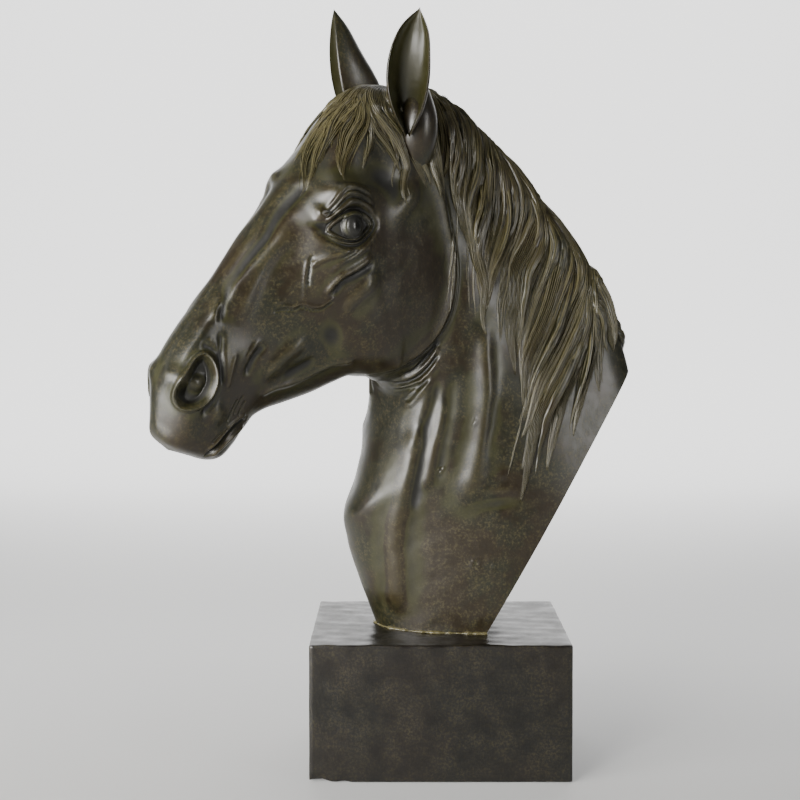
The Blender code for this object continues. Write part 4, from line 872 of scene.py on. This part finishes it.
def skin(name, along, around, caps):
    """A stretch of skin: the carved form on a grid, turned. Its normals are the cross product
    of the grid's own slopes, and relief is the height of the carving over its surroundings."""
    place, outward = form_and_normals(along, around)
    height = carved_height(place, outward) + hand_marks(place)
    points = turned_grid(place + outward * height[..., None])
    wide = np.concatenate([points[:, -2:], points, points[:, :2]], axis=1)
    normals = unit(np.cross(np.gradient(wide, axis=0), np.gradient(wide, axis=1))[:, 2:-2])
    # Relief falls in the carving's hollows, which the finish paints black: painted shade with black patina
    relief = 0.5 + np.clip((height - softened(height, 7)) / (2.4 * MM), -0.5, 0.18)
    # The eyeball's relief is pushed below every groove's, so the finish paints it black and glossy
    from_ball = tilted(place[..., 0], place[..., 2], np.add(EYE, BALL_MIDDLE))
    relief -= 1.2 * bell(np.hypot(*from_ball), 0, 8 * MM)
    keep = slice(0 if caps[0] else 1, -1 if caps[0] else None)
    return piece(name, points[keep], relief[keep], caps=caps, normals=normals[keep])


def hand_marks(place):
    """Soft unevenness left by the modelling hand, as slow waves across the surface, and the
    nicks low on the near side of the neck, each a small pit with a raised rim."""
    x, y, z = np.moveaxis(place / MM, -1, 0)
    wave = np.sin(x / 11.0 + 1.3 * np.sin(z / 17.0)) * np.sin(z / 13.0 + y / 15.0)
    wave += 0.6 * np.sin(x / 6.3 - z / 7.1 + 2.0) * np.sin(z / 5.7 + y / 9.0)
    height = 0.16 * wave
    for at_x, at_z, reach in NICKS:
        far = np.hypot(x - at_x, z - at_z)
        height = height + (0.7 * bell(far, reach, 0.5 * reach) - 0.9 * bell(far, 0, 0.5 * reach)) * (y < 0)
    return height * MM


def head_and_neck():
    """Two skins that meet at the seam: rows and columns are closer at the eye and the nostril,
    and the neck's rows end at the cuts. Each grid has one row beyond the seam, for its normals."""
    eye_along, eye_round = nearest_on_form(EYE)
    rim = np.array(NOSTRIL_RIM).mean(axis=0)
    nose_along, nose_round = nearest_on_form(rim)
    around = spread(0, 1, SKIN_COLUMNS + 1, (
        (1.9, eye_round, 0.045), (0.8, nose_round, 0.07), (0.5, 0.3, 0.12), (-0.45, 0.75, 0.16)
    ))[:-1]
    head_rows = spread(0.0, SEAM, HEAD_GRID_ROWS, ((2.6, eye_along, 0.028), (1.5, nose_along, 0.035)))
    head_rows[0] = 0.0008
    step = head_rows[-1] - head_rows[-2]
    head_rows = np.append(head_rows, SEAM + step)
    skin("head_skin", *np.meshgrid(head_rows, around, indexing="ij"), caps=(True, False))
    ends = column_ends(around)
    share = np.linspace(0, 1, NECK_GRID_ROWS)[:, None]
    share = share - 0.35 * share * (1 - share)
    along = SEAM + share * (ends - SEAM)
    along = np.concatenate([np.full((1, len(around)), SEAM - step), along])
    skin("neck_skin", along, np.broadcast_to(around, along.shape), caps=(False, False))
    return ends, around


def cut_faces(ends, around):
    """The flat back and the flat underside: rings that shrink from the cut's outline to its
    middle, with the faintest unevenness on the back."""
    outline = turned_grid(carved_form(ends, around)[0])
    shrink = np.linspace(1, 0, 20)[:, None, None]
    middle = np.array([0, 0, FOOT])
    rings = middle + (outline - middle) * shrink
    _, behind = beyond_cuts(rings)
    wave = 0.25 * MM * np.sin(rings[..., 1] / (9 * MM)) * np.sin(rings[..., 2] / (13 * MM) + 1)
    fade = ease(4 * (1 - shrink[..., 0])) * ease((rings[..., 2] - FOOT) / (8 * MM))
    onto = np.where(np.abs(behind) < 30 * MM, behind, 0) * (rings[..., 2] > FOOT + 0.05 * MM)
    rings = rings - BACK_CUT_OUT * ((onto + (0.3 * MM + wave) * fade)[..., None])
    return piece("cut_back", rings, 0.5, caps=(False, False))


# ---------------------------------------------------------------- hair

def resampled(way, count):
    """A way of (along, around) points, in thousandths, read at even steps of its length."""
    path = thousandths(way)
    path[:, 1] = np.where(path[:, 1] > 0.5, path[:, 1] - 1, path[:, 1])
    fine = curve_through(path, 12)
    lengths = running(plain_form(*fine.T))
    share = np.linspace(0, 1, count) * lengths[-1]
    return np.stack([np.interp(share, lengths, line) for line in fine.T], axis=1)


def lock_grids(ways, widths, heights, lifts, columns):
    """Locks of hair side by side, for ways (locks, rows, 2). Over each cross section a round
    crown is cut by one V per strand boundary; boundaries drift along the lock, and their depth
    varies. The lock narrows and flattens to its tip, and its underside lies below the skin."""
    locks, rows = ways.shape[:2]
    share = np.linspace(0, 1, rows)[None, :]
    keys = np.arange(locks)[:, None]
    strands = np.maximum(np.round(widths / STRAND_WIDTH), 2)
    place, outward = carved_form(ways[..., 0], ways[..., 1])
    forward = np.gradient(place, axis=1)
    aside = unit(np.cross(outward, forward))
    taper = np.minimum(1, 0.5 + share * 3.2) * np.maximum(1 - share**3.2, 0) ** 0.8
    bulge = np.minimum(1, 0.35 + share * 4) * np.maximum(1 - share**2.4, 0) ** 0.7
    top = np.linspace(-1, 1, columns)
    below = np.linspace(1, -1, 5)[1:-1]
    drift = 0.6 * np.sin(2 * math.pi * (share * (0.5 + hashed(keys, 1)) + hashed(keys, 2)))
    phase = (top[None, None] * 0.5 + 0.5) * strands[:, None, None] + drift[..., None]
    boundary = np.round(phase)
    valley = 1 - np.abs(2 * (phase - boundary)) ** 0.85
    depth = (0.35 + 1.0 * hashed(boundary, keys[..., None], 5)) * valley
    crown = np.sqrt(1 - 0.92 * top**2)[None, None] * bulge[..., None]
    narrow = np.clip(taper * widths[:, None] / (strands[:, None] * 1.5), 0, 1)[..., None]
    lift = (lifts[:, None] * np.sin(math.pi * np.clip(share * 1.15, 0, 1)) ** 2)[..., None]
    rise = heights[:, None, None] * crown - STRAND_DEPTH * depth * narrow + lift
    sink = np.full((locks, rows, len(below)), -2.5) * np.maximum(taper, 0.15)[..., None]
    level = np.concatenate([rise, sink], axis=-1) * MM
    half = widths[:, None] / 2 * MM * (taper + 0.04)
    side = np.concatenate([top, below * 0.9]) * half[..., None]
    grids = place[:, :, None] + aside[:, :, None] * side[..., None] + outward[:, :, None] * level[..., None]
    # Relief is low in the valleys between strands and 0 on the underside, so the finish paints the valleys
    # black and darkens each lock's sides towards the skin: painted shade, with black patina in the valleys
    relief = np.concatenate([1 - depth, np.zeros_like(sink)], axis=-1)
    return grids, np.clip(relief, 0, 1)


def cut_flat(points):
    """Points past the flat back are pushed onto a plane just inside it."""
    _, behind = beyond_cuts(points)
    return points - BACK_CUT_OUT * np.maximum(behind + 0.05 * MM, 0)[..., None]


def hair(name, ways, widths, heights, columns, lifts=0.0):
    """A piece of several locks; widths, heights and lifts are one number or one a lock."""
    sizes = (np.broadcast_to(np.array(values, float), len(ways)) for values in (widths, heights, lifts))
    grids, relief = lock_grids(np.array(ways), *sizes, columns)
    return piece(name, cut_flat(turned_grid(grids)), relief)


def stretch_of(way, begin, reach):
    """The part of a way between two shares of its length, read at a loose lock's rows."""
    rows = np.linspace(0, 1, len(way))
    read = begin + np.linspace(0, 1, LOOSE_ROWS) * (reach - begin)
    return np.stack([np.interp(read, rows, way[:, c]) for c in (0, 1)], axis=1)


def swayed(way, along_reach, round_reach, *keys):
    """A way that wanders off in a slow wave, more towards its tip."""
    share = np.linspace(0, 1, len(way))
    wave = np.sin(share * 6.3 * (0.6 + 0.7 * hashed(*keys, 12)) + 6.3 * hashed(*keys, 13))
    return way + np.stack([along_reach * wave, round_reach * wave], axis=1) * (0.2 + 0.8 * share)[:, None]


def mane():
    """The near side's locks in four groups, filling between neighbours, thin locks that wander
    over them, the rolls on the crest, the far side's short roots and the hairs by the cheek."""
    ways = [resampled(lock[2:], LOCK_ROWS) for lock in MANE]
    widths, heights = np.array([lock[:2] for lock in MANE], float).T
    for name, first, last in (("mane_behind_ear", 0, 5), ("mane_upper", 5, 9), ("mane_middle", 9, 13),
                              ("mane_lower", 13, 18)):
        part = slice(first, last)
        hair(name, ways[part], widths[part], heights[part], LOCK_COLUMNS)
    crest = [k for k in range(2, len(MANE)) if k not in MID_LOCKS]
    one, other = crest[:-1], crest[1:]
    filling = [(ways[a] + ways[b]) / 2 for a, b in zip(one, other)]
    hair("mane_under", filling, 0.55 * (widths[one] + widths[other]), 0.30 * (heights[one] + heights[other]),
         FILLING_COLUMNS)
    loose = []
    for k in range(LOOSE_LOCKS):
        at = (k + 0.6 * hashed(k, 11)) * (len(crest) - 1.02) / LOOSE_LOCKS
        low = int(at)
        way = ways[crest[low]] * (low + 1 - at) + ways[crest[low + 1]] * (at - low)
        way = swayed(way, 0.006, 0.004, k)
        begin = 0.35 * hashed(k, 15) * (hashed(k, 16) > 0.45)
        way = stretch_of(way, begin, min(1, 0.55 + 0.5 * hashed(k, 14)))
        loose.append((way, 3.2 + 5.0 * hashed(k, 17), 1.8 + 2.2 * hashed(k, 18), 1.5 + 4.5 * hashed(k, 19)))
    over, loose_widths, loose_heights, lifts = zip(*loose)
    hair("mane_over", over, loose_widths, loose_heights, LOOSE_COLUMNS, lifts)
    rolls = [resampled(lock[2:], 48) for lock in CREST_ROLLS]
    hair("crest_rolls", rolls, *zip(*(lock[:2] for lock in CREST_ROLLS)), 48)
    roots = []
    for k in range(FAR_ROOT_COUNT):
        start = 425 + 285 * k / (FAR_ROOT_COUNT - 1)
        reach = 1000 * FAR_ROOT_REACH * (0.75 + 0.5 * hashed(k, 21))
        way = ((start - 12, 20), (start + 4, 1000 - reach * 0.4), (start + 20, 1000 - reach))
        roots.append(resampled(way, 24))
    keys = np.arange(FAR_ROOT_COUNT)
    hair("mane_far_side", roots, 10 + 3 * hashed(keys, 22), 3.5 + 2 * hashed(keys, 23), 24)
    hair("cheek_wisps", [resampled(way, 40) for way in CHEEK_WISPS], 2.6, 1.2, 13)


def forelock():
    """The forelock's locks, and over each a few thinner copies that wander off it."""
    lines = [resampled(lock[2:], FORELOCK_ROWS) for lock in FORELOCK]
    loose = []
    for k, ((width, height, *_), line) in enumerate(zip(FORELOCK, lines)):
        for copy in range(LOOSE_COPIES):
            moved = swayed(line, 0.004, 0.009, k, copy)
            moved = moved + (np.array([hashed(k, copy, 32), hashed(k, copy, 33)]) - 0.5) * (0.010, 0.018)
            way = stretch_of(moved, 0.25 * hashed(k, copy, 36), 0.65 + 0.35 * hashed(k, copy, 34))
            thin = width * (0.22 + 0.22 * hashed(k, copy, 37))
            loose.append((way, thin, height * 0.5, 1.0 + 2.4 * hashed(k, copy, 35)))
    hair("forelock", lines, *zip(*(lock[:2] for lock in FORELOCK)), FORELOCK_COLUMNS)
    ways, widths, heights, lifts = zip(*loose)
    hair("forelock_over", ways, widths, heights, LOOSE_COLUMNS, lifts)


# ---------------------------------------------------------------- ears

def leaf(way, facing, half_widths, depths, rows=110, across=72):
    """A cupped leaf. Round the section runs an angle: its cosine, flattened towards the rims,
    goes along the cup's arc and its sine gives the wall's two sides, with rounded rims. Inside,
    a few soft folds of hair run up the cup."""
    middle, aside, front, (half, depth) = ear_frames(way, (half_widths, depths), rows, facing)
    share = np.linspace(0, 1, rows)[:, None]
    curl = np.radians(np.interp(share, (0, 0.35, 1), (128, 108, 92)))
    turn = np.arange(across) / across * 2 * math.pi
    along = np.sign(np.cos(turn)) * np.abs(np.cos(turn)) ** 0.8
    wall = np.minimum(EAR_WALL, half * 0.45)[:, None] / 2 * np.sin(turn)[None]
    folds = 0.7 * MM * np.sin(along * 9)[None] * (np.sin(turn) < 0) * ease(share * 5) * ease((1 - share) * 4)
    arc = along[None] * curl
    inset = -wall + EAR_WALL / 2 + folds * (1 - along[None] ** 4)
    behind = np.maximum(depth[:, None] - inset, 0.1 * MM)
    ahead = np.minimum(EAR_LIP, depth[:, None])
    reach = np.where(np.cos(arc) > 0, behind, ahead)
    section_aside = np.sin(arc) * (half[:, None] - inset)
    section_front = -np.cos(arc) * reach
    grid = middle[:, None] + aside[:, None] * section_aside[..., None]
    grid = grid + front[:, None] * section_front[..., None]
    # The cup's inner face gets a low relief, so the finish paints it moss green with a little black: moss
    # patina with painted shade inside the cup
    inside = np.clip(0.5 + 0.5 * wall / (EAR_WALL / 2), 0, 1) * 0.35 + 0.3
    return grid, inside


def ears():
    """Both ears, each a cupped leaf on a root of its own."""
    for name, ear, root in (("near_ear", NEAR_EAR, NEAR_EAR_ROOT), ("far_ear", FAR_EAR, FAR_EAR_ROOT)):
        grid, relief = leaf(*ear)
        piece(name, turned_grid(grid), relief)
        piece(name + "_root", turned_grid(ear_root_rings(*root, ear[1])), 0.5)


# ---------------------------------------------------------------- plinth

def block(size, rounding):
    """A block as a profile carried round a rectangle: up over the underside, the sides and the
    top. A point of the block's box is drawn in to the inner box and pushed out by the rounding;
    the faces get slow waves, strongest on the top, and the lower edge its chips."""
    turn = (np.arange(PLINTH_STEPS) + 0.5) / PLINTH_STEPS * 4
    side = turn.astype(int) % 4
    along = (turn % 1) * 2 - 1
    ends = np.ones_like(along)
    ring = np.stack([np.choose(side, [along, ends, -along, -ends]),
                     np.choose(side, [-ends, along, ends, -along])], axis=-1)
    reach = np.concatenate([np.linspace(0.02, 0.985, UNDERSIDE_ROWS), np.ones(PLINTH_ROWS),
                            np.linspace(0.985, 0.02, PLINTH_ROWS)])
    rise = np.concatenate([-np.ones(UNDERSIDE_ROWS), -np.cos(np.linspace(0, math.pi, PLINTH_ROWS)),
                           np.ones(PLINTH_ROWS)])
    level = np.broadcast_to(rise[:, None, None], (len(rise), PLINTH_STEPS, 1))
    box = np.concatenate([reach[:, None, None] * ring, level], axis=-1) * size / 2
    inner = size / 2 - rounding
    drawn = np.clip(box, -inner, inner)
    normal = unit(box - drawn)
    points = drawn + normal * rounding
    x, y, z = np.moveaxis(points / MM, -1, 0)
    up = np.maximum(normal[..., 2], 0)
    wave = np.sin(x / 9.1 + 1.7 * np.sin(y / 14.0)) * np.sin(y / 8.3 + 0.8 * np.sin(x / 21.0))
    wave = wave + 0.5 * np.sin(x / 4.3 + y / 5.1) * np.sin(y / 4.7 - x / 6.9)
    dents = 0.35 * wave * up + 0.14 * np.sin(z / 9.0 + x / 12.0) * np.sin(x / 7.7 + y / 6.1) * (1 - up)
    level = np.minimum(dents - 0.4, 0) * (normal[..., 2] > -0.5)
    relief = 0.5 + 0.4 * np.clip(dents, -1, 1)
    points = points + normal * level[..., None] * MM + np.array([0, 0, size[2] / 2])
    low_edge = np.clip(1 - points[..., 2] / (6 * MM), 0, 1)
    for place, reach, rise in PLINTH_CHIPS:
        chip = bell(np.hypot(*tilted(points[..., 0], points[..., 1], place)), 0, reach) * low_edge
        points = points + chip[..., None] * np.array([0, 0.6 * rise, rise])
    return points, relief


def weld_bead(ends, around):
    """The bead of glue round the bust's foot: the foot's outline with the straight edge of the
    flat back, read at even steps, with a small ring at each whose radius is a sum of waves."""
    outline = turned_grid(carved_form(ends, around)[0])
    on_foot = outline[outline[:, 2] < FOOT + 0.3 * MM][:, :2]
    edge = np.linspace(on_foot[-1], on_foot[0], 80)[1:]
    path = np.concatenate([on_foot, edge])
    lengths = running(path)
    share = np.arange(BEAD_STEPS) / BEAD_STEPS
    path = np.stack([np.interp(share * lengths[-1], lengths, line) for line in path.T], axis=1)
    ahead = np.roll(path, -3, axis=0) - np.roll(path, 3, axis=0)
    out = unit(np.stack([ahead[:, 1], -ahead[:, 0]], axis=1))
    out *= np.sign(((path - path.mean(axis=0)) * out).sum())
    turn = share[:, None] * 2 * math.pi
    thick = (1.1 + 0.4 * np.sin(turn * 9) + 0.3 * np.sin(turn * 23 + 1) + 0.2 * np.sin(turn * 41 + 2)) * MM
    ring = np.arange(BEAD_SIDES) / BEAD_SIDES * 2 * math.pi
    place = path[:, None] + out[:, None] * (thick * np.cos(ring)[None] * 1.5)[..., None]
    level = PLINTH_TOP + thick * (0.1 + np.sin(ring)[None])
    rings = np.concatenate([place, level[..., None]], axis=-1)
    rings = np.concatenate([rings, rings[:1]])
    return piece("glue_bead", rings, 0.9, caps=(False, False))


# ---------------------------------------------------------------- finishes

class Value:
    """A shader socket that Python's arithmetic acts on: each sign adds its Math node."""

    def __init__(self, finish, socket):
        self.finish = finish
        self.socket = socket

    def math(self, operation, *others):
        return self.finish.node("ShaderNodeMath", {"operation": operation}, [self, *others])

    def __add__(self, other):
        return self.math("ADD", other)

    def __mul__(self, other):
        return self.math("MULTIPLY", other)

    def __sub__(self, other):
        return self.math("SUBTRACT", other)

    def __rsub__(self, other):
        return self.finish.node("ShaderNodeMath", {"operation": "SUBTRACT"}, [other, self])

    __radd__ = __add__
    __rmul__ = __mul__

    def between(self, low, high):
        """0 below low, 1 above high, smooth in between."""
        settings = {"interpolation_type": "SMOOTHSTEP"}
        inputs = {"Value": self, "From Min": low, "From Max": high}
        return self.finish.node("ShaderNodeMapRange", settings, inputs)


class Finish:
    """A material in the making: its nodes, its object coordinates and its relief attribute."""

    def __init__(self, name):
        self.material = bpy.data.materials.new(name)
        self.material.use_nodes = True
        self.tree = self.material.node_tree
        self.shader = self.tree.nodes["Principled BSDF"]
        self.place = self.node("ShaderNodeTexCoord", {}, {}, "Object")
        self.relief = self.node("ShaderNodeAttribute", {"attribute_name": "relief"}, {}, "Fac")

    def node(self, kind, settings, inputs, output=0):
        """Adds a node of a kind, sets it up, then fills its sockets with values or links."""
        made = self.tree.nodes.new(kind)
        for name, value in settings.items():
            setattr(made, name, value)
        self.fill(made, inputs)
        return Value(self, made.outputs[output])

    def fill(self, made, inputs):
        for key, value in inputs.items() if isinstance(inputs, dict) else enumerate(inputs):
            if isinstance(value, Value):
                self.tree.links.new(value.socket, made.inputs[key])
            else:
                made.inputs[key].default_value = value

    def noise(self, scale, detail=3.0, roughness=0.55):
        inputs = {"Vector": self.place, "Scale": scale, "Detail": detail, "Roughness": roughness}
        return self.node("ShaderNodeTexNoise", {}, inputs)

    def mix(self, share, first, second):
        """The first colour where share is 0 and the second where it is 1."""
        first, second = ((*colour, 1) if isinstance(colour, tuple) else colour for colour in (first, second))
        return self.node("ShaderNodeMix", {"data_type": "RGBA"}, {0: share, 6: first, 7: second}, 2)

    def wax(self, colour, roughness, height, coat, coat_roughness):
        """Fills the shader: a dielectric finish with a coat, and a fine bump of a given height."""
        inputs = {"Height": height, "Distance": 0.10 * MM, "Strength": 0.5}
        self.fill(self.shader, {
            "Base Color": colour, "Roughness": roughness, "Metallic": 0.0, "IOR": WAX_IOR,
            "Coat Weight": coat, "Coat Roughness": coat_roughness,
            "Normal": self.node("ShaderNodeBump", {}, inputs),
        })
        return self.material


def waxed_bronze():
    """Nearly black bronze under wax: brown and olive in soft clouds with fine dark and pale
    specks, black in the grooves, where black patina and painted shade are one colour, with
    moss green at their edges, and paler on the ridges."""
    finish = Finish("waxed_bronze")
    broad = finish.noise(8.0, 3.0)
    patchy = finish.noise(34.0, 5.0, 0.65)
    spots = finish.noise(130.0, 5.0, 0.7)
    specks = finish.noise(520.0, 3.0, 0.7)
    grain = finish.noise(1400.0, 2.0)
    clouds = finish.mix((broad + patchy).between(0.88, 1.12), UMBER, OLIVE)
    stained = finish.mix((spots + patchy).between(1.16, 0.74) * 0.2, clouds, STAIN)
    dust = specks.between(0.44, 0.66) * (patchy + spots).between(0.84, 1.20)
    dusted = finish.mix(dust * 0.8, stained, KHAKI)
    worn = finish.mix(finish.relief.between(0.60, 0.95) * 0.8, dusted, RUBBED)
    settled = finish.mix(finish.relief.between(0.48, 0.36) * 0.7, worn, MOSS)
    # Where relief is low the colour turns black: painted shade with black patina in grooves, between strands
    # and in the ear cups; the eyeball is lowered to the same black
    hollow = 1 - finish.relief.between(0.05, 0.38)
    colour = finish.mix(hollow * 0.9, settled, BLACK_PATINA_AND_SHADE)
    glassy = 1 - finish.relief.between(-0.45, -0.10)
    roughness = 0.31 + 0.12 * (patchy + spots).between(0.8, 1.2) + 0.14 * hollow - 0.42 * glassy
    return finish.wax(colour, roughness, grain * 0.3 + specks * 0.6 + spots * 0.5, 0.15, 0.20)


def dark_plinth():
    """The plinth in the same bronze, duller, with cloudy brown and olive stains."""
    finish = Finish("dark_plinth")
    broad = finish.noise(13.0, 4.0)
    patchy = finish.noise(60.0, 5.0, 0.68)
    specks = finish.noise(520.0, 3.0, 0.7)
    scuffs = finish.noise(300.0, 3.0, 0.65)
    stains = finish.mix(broad.between(0.40, 0.62), PLINTH_BROWN, PLINTH_OLIVE)
    dusted = finish.mix(patchy.between(0.30, 0.80) * specks.between(0.42, 0.66) * 0.6, stains, KHAKI)
    roughness = 0.28 + 0.14 * patchy.between(0.3, 0.7)
    return finish.wax(dusted, roughness, specks * 0.5 + scuffs * 0.9, 0.1, 0.16)


# ---------------------------------------------------------------- room

def paper():
    """Pale paper with painted light: an emission, dim in front and stronger towards the back, that also
    lights the bust.
    """
    finish = Finish("pale_paper")
    away = finish.node("ShaderNodeSeparateXYZ", {}, [finish.place], 1)
    across = finish.node("ShaderNodeSeparateXYZ", {}, [finish.place], 0)
    wide = across * across
    sides = wide.between(9.0, 0.5)
    near = away.between(-0.35, 0.45) * wide.between(1.20, 0.10)
    floor = finish.mix(near, (0.08, 0.08, 0.08), (0.60, 0.60, 0.60))
    finish.fill(finish.shader, {
        "Base Color": (0.42, 0.42, 0.41, 1), "Roughness": 0.8, "Emission Strength": 1.0,
        # The glow is painted light, from 0.08 on the floor in front through 0.6 further back to 1.9 on the
        # wall
        "Emission Color": finish.mix(away.between(0.4, 2.2) * sides, floor, (1.9, 1.9, 1.9)),
    })
    return finish.material


def room():
    """A pale floor that curves up behind into a tall wall, as a profile carried from side to
    side, and a dim even world, a little dimmer in front."""
    turn = np.linspace(0, math.pi / 2, 30)
    curve = CURVE_START + np.sin(turn) * CURVE_RADIUS
    length = np.concatenate([np.linspace(-ROOM_HALF, CURVE_START, 40), curve])
    rise = np.concatenate([np.zeros(40), (1 - np.cos(turn)) * CURVE_RADIUS])
    length, rise = np.append(length, CURVE_START + CURVE_RADIUS), np.append(rise, WALL_HEIGHT)
    across = np.linspace(-ROOM_HALF, ROOM_HALF, 41)
    grid = np.stack(np.broadcast_arrays(across, length[:, None], rise[:, None] + FLOOR_LEVEL), axis=-1)
    index = np.arange(len(length) * 41).reshape(-1, 41)
    quads = np.stack([index[:-1, :-1], index[:-1, 1:], index[1:, 1:], index[1:, :-1]], axis=-1).reshape(-1, 4)
    mesh = bpy.data.meshes.new("floor")
    mesh.from_pydata(grid.reshape(-1, 3).tolist(), [], quads.tolist())
    mesh.shade_smooth()
    floor = placed("floor", mesh)
    floor.data.materials.append(paper())
    world = bpy.data.worlds.new("studio")
    world.use_nodes = True
    tree = world.node_tree
    way = tree.nodes.new("ShaderNodeTexCoord")
    split = tree.nodes.new("ShaderNodeSeparateXYZ")
    ramp = tree.nodes.new("ShaderNodeMapRange")
    ramp.interpolation_type = "SMOOTHSTEP"
    limits = {"From Min": -0.9, "From Max": 0.1, "To Min": WORLD_FRONT, "To Max": WORLD_SIDE}
    for name, value in limits.items():
        ramp.inputs[name].default_value = value
    tree.links.new(way.outputs["Generated"], split.inputs[0])
    tree.links.new(split.outputs["Y"], ramp.inputs["Value"])
    tree.links.new(ramp.outputs[0], tree.nodes["Background"].inputs["Strength"])
    tree.nodes["Background"].inputs["Color"].default_value = (0.97, 0.98, 1.0, 1)
    bpy.context.scene.world = world


def softbox(name, place, aim, size, power):
    """A rectangle of even light."""
    light = bpy.data.lights.new(name, "AREA")
    light.shape = "RECTANGLE"
    light.size, light.size_y = size
    light.energy = power
    light.color = LIGHT_COLOUR
    lamp = placed(name, light)
    lamp.location = place
    lamp.rotation_euler = (Vector(aim) - Vector(place)).to_track_quat("-Z", "Y").to_euler()


def camera():
    lens = bpy.data.cameras.new("camera")
    lens.lens = CAMERA_LENS
    lens.shift_y = CAMERA_SHIFT
    eye = placed("camera", lens)
    eye.location = CAMERA_PLACE
    eye.rotation_euler = (math.radians(90) - CAMERA_DROP, 0, 0)
    bpy.context.scene.camera = eye


def main():
    ends, around = head_and_neck()
    cut_faces(ends, around)
    mane()
    forelock()
    ears()
    points, relief = block(np.subtract(PLINTH_HIGH, PLINTH_LOW), PLINTH_ROUNDING)
    piece("plinth_block", points, relief, node="plinth", slot="dark_plinth")
    weld_bead(ends, around)
    finishes = {"waxed_bronze": waxed_bronze(), "dark_plinth": dark_plinth()}
    for obj in bpy.context.scene.objects:
        if obj.type == "MESH" and "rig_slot" in obj:
            obj.data.materials.append(finishes[obj["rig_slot"]])
    room()
    for box in SOFT_BOXES:
        softbox(*box)
    camera()


main()
